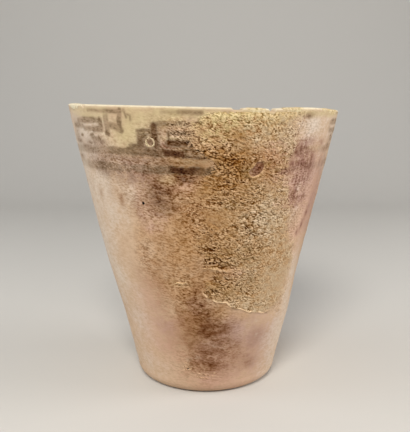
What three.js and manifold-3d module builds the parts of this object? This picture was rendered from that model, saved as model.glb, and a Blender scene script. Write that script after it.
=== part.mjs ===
// A painted beaker of fired clay, of the kind made in the third millennium BC: a flat base disc, a tall
// flaring wall luted onto it, and the lime crust that burial left on the outside as separate scabs.
// Millimetres, +Z up. The origin is the middle of the underside and -Y is the side that faces the viewer.
// An azimuth is in degrees from -Y, and it grows towards +X.

import * as THREE from "three";
import { mergeVertices } from "three/addons/utils/BufferGeometryUtils.js";
import Module from "manifold-3d";

const wasm = await Module();
wasm.setup();

// Driving sizes of the clay body
const RIM_HEIGHT = 109.25; // table to the top of the lip, averaged round the rim
const RIM_RADIUS = 52.85; // outside of the wall, carried up to the rim
const FOOT_RADIUS = 27.5; // outside of the wall, carried down to the table
const BOW = 0.4; // how far the wall bulges out of a straight cone, two thirds of the way up
const BOW_SCALE = 27 / 4; // brings the bulge's curve to 1 at its highest, which is 4/27 before that
const WALL_AT_FOOT = 5.6;
const WALL_AT_RIM = 3.4;
const BASE_THICKNESS = 6.5;
const FOOT_ROUNDING = 5;
const CORNER_FILLET = 6; // clay pressed into the corner between the floor and the wall
const FILLET_TURN = Math.PI / 2.4; // it stops short of flat, where its edge would be too thin
const LIP_DROP = 1.3; // the lip rounds over from this far below its top
const LIP_SQUARENESS = 0.55; // at 1 the lip is a plain arch, and below that its corners are tighter

// What the hand left in it
const THROWING_RING_PITCH = 11;
const THROWING_RING_DEPTH = 0.3;
const RINGS_FADE = 1 / 6; // they fade out over this share of the wall, under the lip
const RIM_FALL = 2.5; // the rim is this much lower at +X than at -X
const BACK_FALL = 1.2; // and this much lower at the back: no lip shows through the chips in front
const BACK_FALL_STARTS = -0.2; // where that begins, as a share of the radius towards the back
const LIP_RISE = { azimuth: 45, halfWidth: 24, height: 0.7 };
const RISE_POWER = 6; // how soon that rise dies out down the wall
const LEAN = 1.05; // the upper wall stands this far towards -X from the foot
const LEAN_STARTS = 24; // height where it begins to lean
const LEAN_ENDS = 50; // height above which it stands straight again
const LIP_CHIPS = [
  { azimuth: -53, width: 2.6, depth: 0.8 },
  { azimuth: 12, width: 4.2, depth: 0.6 },
  { azimuth: 25.5, width: 3, depth: 0.8 },
  { azimuth: 117, width: 5.5, depth: 1.1 },
  { azimuth: 168, width: 3.4, depth: 0.7 },
  { azimuth: 231, width: 4.6, depth: 0.9 },
];

// The lime crust. Its sheets lie on the wall, a seat's gap off the clay.
const CRUST_SEAT = 0.3;
const CRUST_THICKNESS = 1;
const CRUST_RELIEF = 0.35; // how far its surface goes up and down
const CRUST_TORN_EDGE = 0.55; // how far its outline wanders
const CRUST_CELL = 2.6; // size of a facet of the crust
const CRUST_STEP = 3; // length of a straight run of its torn outline
const LIP_MARGIN = 3; // the crust stops this far under the lip's top
const LIP_SCAB_THICKNESS = 0.55; // the lime that sits on the lip itself
const LIP_SCAB_START = 0.5; // it begins this far below the middle of the lip's rounding
const LIP_SCAB_WRAP = 2.3; // and goes this far round it, in radians
const LIP_SCAB_EDGE = 0.1; // thickness where it has thinned out
const LIP_SCAB_CELL = 1.3;
const LIP_SCAB_ROWS = 6;
const SCALE_THICKNESS = 0.5; // the flakes and scale beside the sheet
const SCALE_RELIEF = 0.15;
const SCALE_TORN_EDGE = 0.25;
const SCALE_CELL = 1.6;

// Smoothness of the round shapes
const ROUND_STEPS = 72;
const OUTER_ROWS = 9;
const INNER_ROWS = 24;
const ARC_STEPS = 5;
const LIP_STEPS = 8;
const CUT_REACH = 0.5; // a cut goes this share of the radius to both sides of the wall's outside

const CLAY = new THREE.MeshStandardMaterial({ color: 0xc9a588, roughness: 0.85, metalness: 0 });
const LIME = new THREE.MeshStandardMaterial({ color: 0xb89a6c, roughness: 0.95, metalness: 0 });

const wallHeight = RIM_HEIGHT - BASE_THICKNESS;
const halfLip = WALL_AT_RIM / 2;
const lipCentre = RIM_HEIGHT - LIP_DROP;

// Radius of the clay's outside at a height, before the foot is rounded off.
function outerRadius(z) {
  const share = z / RIM_HEIGHT;
  const bow = BOW * BOW_SCALE * share * share * (1 - share);
  return FOOT_RADIUS + (RIM_RADIUS - FOOT_RADIUS) * share + bow;
}

// Radius of the clay's inside, with the shallow rings that the fingers left as the wall was raised.
function innerRadius(z) {
  const share = (z - BASE_THICKNESS) / wallHeight;
  const wall = WALL_AT_FOOT + (WALL_AT_RIM - WALL_AT_FOOT) * share;
  const ring = THROWING_RING_DEPTH * Math.sin((2 * Math.PI * z) / THROWING_RING_PITCH);
  const fade = Math.min(1, (1 - share) / RINGS_FADE);
  return outerRadius(z) - wall + (ring * fade) / 2;
}

function smoothStep(low, high, value) {
  const share = Math.min(1, Math.max(0, (value - low) / (high - low)));
  return share * share * (3 - 2 * share);
}

// A hump of height 1 at its middle that dies out at its half width.
function hump(distance, halfWidth) {
  const share = Math.min(1, Math.abs(distance) / halfWidth);
  return 0.5 * (1 + Math.cos(Math.PI * share));
}

// Moves a point of the true round beaker to where the hand-made one has it.
function handMade(x, y, z) {
  const up = Math.min(1, Math.max(0, (z - BASE_THICKNESS) / wallHeight));
  const azimuth = THREE.MathUtils.radToDeg(Math.atan2(x, -y));
  const fall = (-RIM_FALL / 2) * (x / RIM_RADIUS);
  const back = BACK_FALL * smoothStep(BACK_FALL_STARTS, 1, y / RIM_RADIUS);
  const rise = LIP_RISE.height * hump(azimuth - LIP_RISE.azimuth, LIP_RISE.halfWidth) * up ** RISE_POWER;
  return [x - LEAN * smoothStep(LEAN_STARTS, LEAN_ENDS, z), y, z + (fall - back) * up + rise];
}

function shapeByHand(geometry) {
  const positions = geometry.getAttribute("position");
  for (let i = 0; i < positions.count; i += 1) {
    positions.setXYZ(i, ...handMade(positions.getX(i), positions.getY(i), positions.getZ(i)));
  }
  return geometry;
}

// Where a point off the outside of the wall lies, by azimuth and height.
function onWall(azimuth, z, offset) {
  const turn = THREE.MathUtils.degToRad(azimuth);
  const radius = outerRadius(z) + offset;
  return handMade(radius * Math.sin(turn), -radius * Math.cos(turn), z);
}

function toSolid(geometry) {
  const bare = new THREE.BufferGeometry();
  bare.setAttribute("position", geometry.getAttribute("position"));
  bare.setIndex(geometry.index);
  const merged = mergeVertices(bare, 1e-3);
  const mesh = new wasm.Mesh({
    numProp: 3,
    vertProperties: new Float32Array(merged.getAttribute("position").array),
    triVerts: new Uint32Array(merged.index.array),
  });
  return new wasm.Manifold(mesh);
}

function toGeometry(solid) {
  const mesh = solid.getMesh();
  const geometry = new THREE.BufferGeometry();
  geometry.setAttribute("position", new THREE.BufferAttribute(mesh.vertProperties, 3));
  geometry.setIndex(new THREE.BufferAttribute(mesh.triVerts, 1));
  geometry.computeVertexNormals();
  return geometry;
}

// A profile of radius and height, turned about +Z. The lathe's own axis is +Y.
function turned(profile) {
  return new THREE.LatheGeometry(profile, ROUND_STEPS).rotateX(Math.PI / 2);
}

// Points of an arc in the profile's plane, its first point left out.
function arcPoints(centreRadius, centreHeight, radius, from, to, steps) {
  const points = [];
  for (let i = 1; i <= steps; i += 1) {
    const angle = from + ((to - from) * i) / steps;
    points.push(new THREE.Vector2(
      centreRadius + radius * Math.cos(angle),
      centreHeight + radius * Math.sin(angle),
    ));
  }
  return points;
}

// The base: a flat disc of clay with a rounded foot. Its top is the floor inside and the wall's seat.
function baseDisc() {
  const footLine = outerRadius(FOOT_ROUNDING);
  const flat = footLine - FOOT_ROUNDING;
  const profile = [
    new THREE.Vector2(0, 0),
    new THREE.Vector2(flat, 0),
    ...arcPoints(flat, FOOT_ROUNDING, FOOT_ROUNDING, -Math.PI / 2, 0, ARC_STEPS + 1),
    new THREE.Vector2(outerRadius(BASE_THICKNESS), BASE_THICKNESS),
    new THREE.Vector2(0, BASE_THICKNESS),
  ];
  return turned(profile);
}

// A point of the lip cut through, with its angle counted from the outside over the top. An arch with
// tight corners that leans out with the wall, so the outside runs straight on up to the lip's edge.
function lipPoint(angle, offset) {
  const squared = (value) => Math.sign(value) * Math.abs(value) ** LIP_SQUARENESS;
  const rise = (LIP_DROP + offset) * squared(Math.sin(angle));
  const middle = (outerRadius(lipCentre) + innerRadius(lipCentre)) / 2;
  const slope = (RIM_RADIUS - FOOT_RADIUS) / RIM_HEIGHT;
  return new THREE.Vector2(
    middle + (halfLip + offset) * squared(Math.cos(angle)) + slope * rise,
    lipCentre + rise,
  );
}

// The outline of the wall, cut through: up the outside, over the lip, down the inside, round the corner.
function wallProfile() {
  const profile = [];
  for (let i = 0; i <= OUTER_ROWS; i += 1) {
    const z = BASE_THICKNESS + ((lipCentre - BASE_THICKNESS) * i) / OUTER_ROWS;
    profile.push(new THREE.Vector2(outerRadius(z), z));
  }
  for (let i = 1; i < LIP_STEPS; i += 1) {
    profile.push(lipPoint((Math.PI * i) / LIP_STEPS, 0));
  }
  const filletTop = BASE_THICKNESS + CORNER_FILLET;
  for (let i = 0; i <= INNER_ROWS; i += 1) {
    const z = lipCentre + ((filletTop - lipCentre) * i) / INNER_ROWS;
    profile.push(new THREE.Vector2(innerRadius(z), z));
  }
  const filletCentre = innerRadius(filletTop) - CORNER_FILLET;
  profile.push(...arcPoints(filletCentre, filletTop, CORNER_FILLET, 0, -FILLET_TURN, ARC_STEPS));
  const thinEdge = profile[profile.length - 1];
  profile.push(new THREE.Vector2(thinEdge.x, BASE_THICKNESS));
  profile.push(profile[0].clone());
  return profile;
}

// A scoop out of the top of the lip.
function chip({ azimuth, width, depth }) {
  const scoop = new THREE.SphereGeometry(1, 10, 8);
  const overlap = 0.6;
  scoop.scale(width / 2, WALL_AT_RIM, depth + overlap);
  scoop.rotateZ(THREE.MathUtils.degToRad(azimuth));
  const [x, y] = onWall(azimuth, RIM_HEIGHT - halfLip, -halfLip);
  scoop.translate(x, y, onWall(azimuth, RIM_HEIGHT, 0)[2] + overlap);
  return toSolid(scoop);
}

function wall() {
  let solid = toSolid(shapeByHand(turned(wallProfile())));
  for (const lipChip of LIP_CHIPS) {
    solid = solid.subtract(chip(lipChip));
  }
  return toGeometry(solid);
}

// A number from -1 to 1 that looks random and is the same each time.
function scatter(a, b) {
  const wave = Math.sin(a * 12.9898 + b * 78.233) * 43758.5453;
  return 2 * (wave - Math.floor(wave)) - 1;
}

// Adds points along a closed outline, and lets them wander as a torn edge does.
function tornOutline(outline, wander, step) {
  const points = [];
  outline.forEach(([azimuth, z], i) => {
    const [nextAzimuth, nextZ] = outline[(i + 1) % outline.length];
    const alongWall = THREE.MathUtils.degToRad(nextAzimuth - azimuth) * outerRadius(z);
    const count = Math.max(1, Math.round(Math.hypot(alongWall, nextZ - z) / step));
    for (let j = 0; j < count; j += 1) {
      const share = j / count;
      const degrees = THREE.MathUtils.radToDeg(wander / outerRadius(z));
      points.push(new THREE.Vector2(
        azimuth + (nextAzimuth - azimuth) * share + degrees * scatter(i + share, 1),
        z + (nextZ - z) * share + wander * scatter(i + share, 2),
      ));
    }
  });
  return points;
}

// A solid that cuts an outline straight through the wall.
function throughWall(points) {
  const flat = new THREE.ExtrudeGeometry(new THREE.Shape(points), { depth: 1, bevelEnabled: false });
  const positions = flat.getAttribute("position");
  for (let i = 0; i < positions.count; i += 1) {
    const z = positions.getY(i);
    const outside = positions.getZ(i) > 0.5;
    const offset = outerRadius(z) * (outside ? CUT_REACH : -CUT_REACH);
    positions.setXYZ(i, ...onWall(positions.getX(i), z, offset));
  }
  return toSolid(flat);
}

// A closed slab over a grid. The place function gives its under side and its top at a row and a column.
function slab(columns, rows, place) {
  const vertices = [];
  const faces = [];
  const side = (columns + 1) * (rows + 1);
  for (const top of [0, 1]) {
    for (let row = 0; row <= rows; row += 1) {
      for (let column = 0; column <= columns; column += 1) {
        vertices.push(...place(column, row, top));
      }
    }
  }
  const quad = (a, b, c, d) => faces.push(a, b, c, a, c, d);
  for (let row = 0; row < rows; row += 1) {
    for (let column = 0; column < columns; column += 1) {
      const corner = row * (columns + 1) + column;
      const above = corner + columns + 1;
      quad(corner + side, corner + 1 + side, above + 1 + side, above + side);
      quad(above, above + 1, corner + 1, corner);
    }
  }
  const edge = [];
  for (let column = 0; column < columns; column += 1) edge.push(column);
  for (let row = 0; row < rows; row += 1) edge.push(row * (columns + 1) + columns);
  for (let column = columns; column > 0; column -= 1) edge.push(rows * (columns + 1) + column);
  for (let row = rows; row > 0; row -= 1) edge.push(row * (columns + 1));
  edge.forEach((from, i) => {
    const to = edge[(i + 1) % edge.length];
    quad(from, to, to + side, from + side);
  });
  const geometry = new THREE.BufferGeometry();
  geometry.setAttribute("position", new THREE.Float32BufferAttribute(vertices, 3));
  geometry.setIndex(faces);
  return geometry;
}

// A layer that follows the wall's outside over a patch, with a gap under it and an uneven top.
function layer(low, high, thickness, relief, cell) {
  const middle = outerRadius((low.y + high.y) / 2);
  const columns = Math.ceil((THREE.MathUtils.degToRad(high.x - low.x) * middle) / cell);
  const rows = Math.ceil((high.y - low.y) / cell);
  return toSolid(slab(columns, rows, (column, row, top) => {
    const azimuth = low.x + ((high.x - low.x) * column) / columns;
    const z = low.y + ((high.y - low.y) * row) / rows;
    const height = thickness + relief * scatter(column, row);
    return onWall(azimuth, z, CRUST_SEAT + top * height);
  }));
}

// A scab of crust: a layer on the wall, cut to a torn outline, with bare windows broken through it.
function crust({ outline, windows = [], thickness, relief, torn, cell, step }) {
  const points = tornOutline(outline, torn, step);
  const box = new THREE.Box2().setFromPoints(points).expandByScalar(1);
  let solid = layer(box.min, box.max, thickness, relief, cell).intersect(throughWall(points));
  for (const window of windows) {
    solid = solid.subtract(throughWall(window));
  }
  return toGeometry(largest(solid));
}

// A torn outline can cut off a crumb. The scab itself is the largest body.
function largest(solid) {
  const bodies = solid.decompose();
  return bodies.reduce((best, body) => (body.volume() > best.volume() ? body : best));
}

// An oval on the wall, for the windows and the ring.
function oval(azimuth, z, width, height, steps) {
  const degrees = THREE.MathUtils.radToDeg(1 / outerRadius(z));
  return new THREE.Path()
    .absellipse(0, 0, width / 2, height / 2, 0, 2 * Math.PI)
    .getSpacedPoints(steps)
    .slice(0, -1)
    .map((point) => new THREE.Vector2(azimuth + point.x * degrees, z + point.y));
}

const crustTop = RIM_HEIGHT - LIP_MARGIN;

// A height on the wall, given in hundredths of the rim's, so that the crust keeps its place on the beaker.
function upWall(percent) {
  return (percent / 100) * RIM_HEIGHT;
}

// The large sheet on the front right, given as azimuth and height round its edge.
const SHEET_OUTLINE = [
  [0, crustTop], [38, crustTop],
  [36, upWall(92.4)], [37.5, upWall(86.0)], [35, upWall(81.5)], [39, upWall(76.9)], [40, upWall(70.5)],
  [43, upWall(64.1)], [48, upWall(57.7)], [58, upWall(53.1)], [65, upWall(46.7)], [66, upWall(39.4)],
  [62, upWall(33.0)], [54, upWall(28.8)], [42, upWall(29.3)], [30, upWall(31.6)], [18, upWall(33.5)],
  [9, upWall(36.6)], [1, upWall(38.4)], [-2.5, upWall(41.0)], [1, upWall(43.9)], [3.5, upWall(46.7)],
  [0, upWall(49.0)], [-1, upWall(52.6)], [-7, upWall(55.2)], [-9, upWall(60.4)], [-8, upWall(66.0)],
  [-5, upWall(72.0)], [-1, upWall(76.9)], [1.5, upWall(79.6)], [-4, upWall(83.8)], [-5, upWall(87.4)],
  [-13, upWall(88.3)], [-12.5, upWall(93.8)], [-3, upWall(94.7)],
];

// Where it has broken away to the clay: the bare oval over the painted band, and the deep pits.
const SHEET_WINDOWS = [
  oval(22, upWall(81.1), 4.2, 3, 12),
  oval(43, upWall(50.3), 3.4, 2.2, 10),
  oval(6.5, upWall(51.3), 2.6, 1.6, 8),
  oval(8, upWall(43.5), 3.2, 1.8, 8),
  oval(16, upWall(61.3), 2.4, 3.4, 8),
  oval(13, upWall(85.1), 2.6, 2, 8),
  oval(28, upWall(65.9), 1.8, 2.4, 8),
  oval(29, upWall(39.4), 2.2, 1.6, 8),
];

const crustStyle = {
  thickness: CRUST_THICKNESS,
  relief: CRUST_RELIEF,
  torn: CRUST_TORN_EDGE,
  cell: CRUST_CELL,
  step: CRUST_STEP,
};
const scaleStyle = {
  thickness: SCALE_THICKNESS,
  relief: SCALE_RELIEF,
  torn: SCALE_TORN_EDGE,
  cell: SCALE_CELL,
  step: SCALE_CELL,
};

const scabs = {
  crust_sheet: {
    ...crustStyle,
    outline: SHEET_OUTLINE,
    windows: SHEET_WINDOWS,
  },
  // The raised flake left of the sheet's lower corner
  crust_flake: {
    ...scaleStyle,
    outline: [
      [-15.5, upWall(43.6)], [-13, upWall(44.5)], [-9, upWall(44.8)],
      [-8.6, upWall(43.9)], [-12, upWall(43.4)], [-14.6, upWall(42.8)],
    ],
  },
  // Flaky scale just above the foot
  crust_foot_scale_left: {
    ...scaleStyle,
    outline: [
      [-18, upWall(12.4)], [-14, upWall(13.4)], [-10, upWall(11.9)],
      [-9.5, upWall(9.7)], [-14, upWall(9.0)], [-17.5, upWall(10.1)],
    ],
  },
  crust_foot_scale_right: {
    ...scaleStyle,
    outline: [
      [-9, upWall(8.2)], [-3, upWall(9.0)], [4, upWall(8.4)], [10, upWall(8.1)],
      [10.5, upWall(6.6)], [3, upWall(6.4)], [-4, upWall(6.3)], [-9.5, upWall(6.7)],
    ],
  },
};

// The small raised ring of lime left of the sheet.
const RING = { azimuth: -20.2, z: upWall(89.9), width: 4, height: 3.9, line: 0.9, relief: 0.05, cell: 1.2 };

function crustRing() {
  const { azimuth, z, width, height, line, relief, cell } = RING;
  const outside = oval(azimuth, z, width, height, 16);
  const inside = oval(azimuth, z, width - 2 * line, height - 2 * line, 12);
  const box = new THREE.Box2().setFromPoints(outside).expandByScalar(1);
  const plate = layer(box.min, box.max, SCALE_THICKNESS, relief, cell);
  return toGeometry(plate.intersect(throughWall(outside)).subtract(throughWall(inside)));
}

// The lime on the lip, between one azimuth and another. It thins out to its ends and its edges.
const LIP_SCABS = {
  crust_lip_left: { from: -72, to: -57 },
  crust_lip_middle: { from: 15, to: 23 },
  crust_lip_right: { from: 28.5, to: 41 },
  crust_lip_far_right: { from: 50, to: 72 },
};

function lipScab({ from, to }) {
  const columns = Math.ceil((THREE.MathUtils.degToRad(to - from) * RIM_RADIUS) / LIP_SCAB_CELL);
  const rows = LIP_SCAB_ROWS;
  const startAngle = -LIP_SCAB_START / halfLip;
  return slab(columns, rows, (column, row, top) => {
    const share = column / columns;
    const angle = startAngle + ((LIP_SCAB_WRAP - startAngle) * row) / rows;
    const thin = Math.sin(Math.PI * share) ** 0.5 * Math.sin((Math.PI * row) / rows) ** 0.5;
    const lumps = 0.7 + 0.3 * scatter(column + from, row);
    const height = LIP_SCAB_EDGE + LIP_SCAB_THICKNESS * thin * lumps;
    const turn = THREE.MathUtils.degToRad(from + (to - from) * share);
    const place = lipPoint(angle, CRUST_SEAT + top * height);
    return handMade(place.x * Math.sin(turn), -place.x * Math.cos(turn), place.y);
  });
}

function piece(name, geometry, material) {
  const mesh = new THREE.Mesh(geometry, material);
  mesh.name = name;
  return mesh;
}

const beaker = new THREE.Group();
beaker.add(piece("base_disc", baseDisc(), CLAY));
beaker.add(piece("wall", wall(), CLAY));
for (const [name, scab] of Object.entries(scabs)) {
  beaker.add(piece(name, crust(scab), LIME));
}
beaker.add(piece("crust_ring", crustRing(), LIME));
for (const [name, scab] of Object.entries(LIP_SCABS)) {
  beaker.add(piece(name, toGeometry(toSolid(lipScab(scab))), LIME));
}

export default beaker;
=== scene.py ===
# %% [markdown]
# A painted beaker of fired clay, prehistoric or of the Bronze Age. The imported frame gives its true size:
# a base disc, a wall, and the scabs of lime that burial left on the wall. This lesson dresses each of
# them in turn: first the clay's curve, then its paint and its stains, then the meshes of wall and base,
# then the lime, and last the floor, the lamps and the camera. Sizes are in millimetres until a mesh is
# made.

# %% Load the frame
import math

import bpy
import numpy as np
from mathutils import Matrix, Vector


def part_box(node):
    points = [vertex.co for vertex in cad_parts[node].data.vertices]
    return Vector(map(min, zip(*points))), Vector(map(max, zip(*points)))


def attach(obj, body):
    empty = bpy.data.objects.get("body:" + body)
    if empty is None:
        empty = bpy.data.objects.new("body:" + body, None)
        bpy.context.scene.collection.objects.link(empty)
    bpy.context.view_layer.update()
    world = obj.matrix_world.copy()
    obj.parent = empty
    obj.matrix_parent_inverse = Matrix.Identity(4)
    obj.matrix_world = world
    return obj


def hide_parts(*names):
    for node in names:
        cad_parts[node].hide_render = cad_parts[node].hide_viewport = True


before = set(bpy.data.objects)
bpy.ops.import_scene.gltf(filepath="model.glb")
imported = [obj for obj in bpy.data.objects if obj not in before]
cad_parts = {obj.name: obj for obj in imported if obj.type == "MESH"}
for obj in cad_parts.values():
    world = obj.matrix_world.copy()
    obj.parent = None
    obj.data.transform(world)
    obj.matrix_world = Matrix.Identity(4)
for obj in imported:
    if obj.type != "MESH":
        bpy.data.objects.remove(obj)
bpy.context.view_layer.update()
MM = 0.001
print("nodes in the frame:", sorted(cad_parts))

# %% [markdown]
# The wall is a straight cone that swells a little two thirds of the way up. It could be traced point by
# point, but a formula with a few sizes says what the potter's hand did, and every later step can ask it
# where the surface is. The lip is an arch with tight corners, a little flat on top.

# %% The clay's curve
RIM_HEIGHT = 109.25
RIM_RADIUS = 52.85
FOOT_RADIUS = 27.5
BOW = 0.4
BOW_PEAK = 27 / 4
WALL_AT_FOOT = 5.6
WALL_AT_RIM = 3.4
BASE_THICKNESS = 6.5
FOOT_ROUNDING = 5.0
CORNER_FILLET = 6.0
LIP_DROP = 1.3
LIP_SQUARENESS = 0.55
LIP_CENTRE = RIM_HEIGHT - LIP_DROP


def outer_radius(z):
    share = np.clip(z / RIM_HEIGHT, 0, 1.1)
    bow = BOW * BOW_PEAK * share**2 * (1 - share)
    return FOOT_RADIUS + (RIM_RADIUS - FOOT_RADIUS) * share + bow


def share_up(z):
    return (z - BASE_THICKNESS) / (RIM_HEIGHT - BASE_THICKNESS)


def inner_radius(z):
    return outer_radius(z) - (WALL_AT_FOOT + (WALL_AT_RIM - WALL_AT_FOOT) * share_up(z))


def squared(value):
    return np.sign(value) * np.abs(value) ** LIP_SQUARENESS


def lip_point(angle, offset):
    rise = (LIP_DROP + offset) * squared(np.sin(angle))
    middle = (outer_radius(LIP_CENTRE) + inner_radius(LIP_CENTRE)) / 2
    slope = (RIM_RADIUS - FOOT_RADIUS) / RIM_HEIGHT
    return middle + (WALL_AT_RIM / 2 + offset) * squared(np.cos(angle)) + slope * rise, LIP_CENTRE + rise


low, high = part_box("wall")
print("rim radius", RIM_RADIUS, "against", round((high.x - low.x) / 2 / MM, 2), "in the frame")

# %% [markdown]
# A hand-made pot is never true. This one leans a little to the left above the foot, and its rim falls to
# the right and to the back, with a small rise in it. One function bends the true round shape into the
# real one, so the clay and the lime on it bend together.

# %% What the hand left in it
RIM_FALL = 2.5
BACK_FALL = 1.2
BACK_FALL_STARTS = -0.2
LEAN = 1.05
LEAN_STARTS = 24.0
LEAN_ENDS = 50.0
LIP_RISE_AZIMUTH = 45.0
LIP_RISE_HALF_WIDTH = 24.0
LIP_RISE = 0.7
LIP_RISE_POWER = 6


def ease(value, low_end, high_end):
    share = np.clip((value - low_end) / (high_end - low_end), 0, 1)
    return share * share * (3 - 2 * share)


def hump(distance, half_width):
    share = np.clip(np.abs(distance) / half_width, 0, 1)
    return 0.5 * (1 + np.cos(np.pi * share))


def hand_made(points):
    x, y, z = points[..., 0], points[..., 1], points[..., 2]
    up = np.clip(share_up(z), 0, 1)
    azimuth = np.degrees(np.arctan2(x, -y))
    fall = -RIM_FALL / 2 * x / RIM_RADIUS - BACK_FALL * ease(y / RIM_RADIUS, BACK_FALL_STARTS, 1)
    rise = LIP_RISE * hump(azimuth - LIP_RISE_AZIMUTH, LIP_RISE_HALF_WIDTH) * up**LIP_RISE_POWER
    return np.stack([x - LEAN * ease(z, LEAN_STARTS, LEAN_ENDS), y, z + fall * up + rise], -1)


def around(azimuth, radius, z):
    turn = np.radians(azimuth)
    return np.stack([radius * np.sin(turn), -radius * np.cos(turn), z + 0 * turn], -1)


for side in (-90, 90, 180):
    lip_height = hand_made(around(side, RIM_RADIUS, RIM_HEIGHT))[2]
    print("the lip at azimuth", side, "is", round(float(lip_height), 2), "mm high")

# %% [markdown]
# Clay and lime are both made of lumps of many sizes. A random number for each corner of a grid, blended
# smoothly between the corners, gives soft lumps. It comes from whole-number arithmetic, so every run
# makes the same pot.

# %% Lumps
MIX_X, MIX_Y, MIX_Z, MIX_SEED = 374761393, 668265263, 1103515245, 1274126177
WORD = 0xFFFFFFFF


def chance(i, j, k, seed):
    mixed = i.astype(np.int64) * MIX_X + j.astype(np.int64) * MIX_Y
    mixed = (mixed + k.astype(np.int64) * MIX_Z + seed * MIX_SEED) & WORD
    mixed = ((mixed ^ (mixed >> 13)) * MIX_SEED) & WORD
    mixed = ((mixed ^ (mixed >> 16)) * MIX_Y) & WORD
    return (mixed ^ (mixed >> 15)) / 2**31 - 1


def lumps(points, size, seed):
    scaled = points / size
    corner = np.floor(scaled)
    part = scaled - corner
    part = part * part * (3 - 2 * part)
    total = np.zeros(points.shape[:-1])
    for dx in (0, 1):
        for dy in (0, 1):
            for dz in (0, 1):
                weight = np.abs(1 - dx - part[..., 0]) * np.abs(1 - dy - part[..., 1])
                weight = weight * np.abs(1 - dz - part[..., 2])
                x, y, z = corner[..., 0] + dx, corner[..., 1] + dy, corner[..., 2] + dz
                total += weight * chance(x, y, z, seed)
    return total


sample = lumps(around(np.arange(0, 360, 5), RIM_RADIUS, 0), 3.0, 0)
print("lumps run from", round(float(sample.min()), 2), "to", round(float(sample.max()), 2))

# %% [markdown]
# The paint is a frieze of stepped frets between the lip and two bands. It is laid here as brush strokes:
# two ends, half a width, and how much of it is left. The motif was repeated three times round the beaker.
# Most of it has worn off, so the strokes only mark where paint may still be.

# %% The painter's strokes
FRET = [
    (-50, 108.55, -41, 108.35, 0.5, 0.42), (-40, 108.25, -32, 108.15, 0.7, 0.58),
    (-60.5, 104.75, -55, 105.15, 0.9, 0.5), (-55, 105.15, -47, 105.25, 1.1, 0.58),
    (-47, 105.25, -43.5, 104.95, 0.95, 0.58), (-43, 105.15, -42.9, 102.35, 1.2, 0.67),
    (-42.8, 102.15, -48.3, 102.05, 1.05, 0.67), (-48.5, 102.15, -56, 102.15, 0.8, 0.5),
    (-57, 103.05, -68, 102.95, 0.85, 0.42), (-60, 104.35, -63, 103.55, 0.7, 0.3),
    (-60.6, 99.65, -58.6, 99.85, 0.4, 0.8), (-51.8, 99.95, -49.2, 100.15, 0.45, 0.65),
    (-51, 98.95, -46.4, 98.65, 0.7, 0.42), (-45.4, 99.35, -44.8, 98.75, 0.6, 0.82),
    (-54, 97.15, -51.6, 96.95, 0.35, 0.4), (-62, 97.55, -66, 97.75, 0.4, 0.3),
    (-39.4, 106.05, -39.4, 101.95, 1.2, 0.48), (-40, 101, -39.3, 100.7, 1.05, 0.69),
    (-38.4, 107.95, -38.4, 104.55, 0.4, 0.42), (-37.4, 103.55, -35, 103.15, 1.15, 0.58),
    (-35, 103.15, -32.2, 102.05, 1.15, 0.6), (-32.9, 102.75, -32.6, 105.35, 1.1, 0.62),
    (-32.6, 105.35, -31.6, 108.55, 0.95, 0.57), (-36, 105.75, -34.6, 104.95, 0.25, 0.25),
    (-29.8, 108.75, -28.9, 106.25, 0.36, 0.6), (-28.3, 107.25, -27.2, 106.85, 0.34, 0.55),
    (-27.2, 106.5, -27.3, 105.4, 0.36, 0.6), (-25, 102, -19.8, 102.1, 0.5, 0.7),
    (-24.8, 100.8, -20.8, 100.8, 0.5, 0.66), (-24, 99.6, -24.2, 97.4, 1.3, 0.72),
    (-28.8, 96.8, -25, 96.6, 0.85, 0.66), (-21.8, 96.2, -18.6, 96.2, 0.7, 0.62),
    (-22.6, 100.2, -21.4, 99.4, 0.5, 0.6), (-19.6, 101.4, -18.4, 100.6, 0.7, 0.6),
    (-18.1, 103.6, -18, 97, 1.25, 0.8), (-17.4, 103.9, -15.6, 104.6, 0.7, 0.6),
    (-15.6, 104.4, -0.5, 104.1, 0.85, 0.6), (-12.6, 101.3, -4.2, 101.2, 0.75, 0.62),
    (-13, 98, -5, 97.8, 1.15, 0.8), (-12.7, 101, -12.6, 98.4, 0.5, 0.75),
    (-14.5, 108, -8, 108, 0.6, 0.25), (-8.5, 108, -0.5, 107.8, 0.7, 0.5),
    (-7, 95.7, 0.8, 95.6, 0.4, 0.7), (-7.5, 93.5, 3.4, 93, 0.45, 0.85),
    (-42.5, 92.65, -44.5, 92.65, 0.35, 0.5),
]
REPEATS = ((0, 0.0, 1.0), (120, 0.9, 0.9), (240, 0.5, 0.6))


def unrolled(azimuth, z):
    return np.radians(azimuth) * outer_radius(z)


def wrapped(azimuth):
    return (azimuth + 180) % 360 - 180


def stroke_paint(azimuth, z, stroke, soft):
    a0, z0, a1, z1, half_width, left = stroke
    middle = (a0 + a1) / 2
    x = unrolled(wrapped(azimuth - middle), z)
    x0, x1 = unrolled(a0 - middle, z0), unrolled(a1 - middle, z1)
    length = max(math.hypot(x1 - x0, z1 - z0), 1e-6)
    along_x, along_z = (x1 - x0) / length, (z1 - z0) / length
    t = np.clip((x - x0) * along_x + (z - z0) * along_z, 0, length)
    gap = np.hypot(x - x0 - t * along_x, z - z0 - t * along_z)
    return left * ease(half_width - gap, -soft, soft)


print("strokes in one motif:", len(FRET), " in all:", len(FRET) * len(REPEATS))

# %% [markdown]
# The two bands under the frieze run all the way round. They keep one height, with the wobble of a
# brush held against a turning pot, and what is left of them changes along the way.

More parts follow.
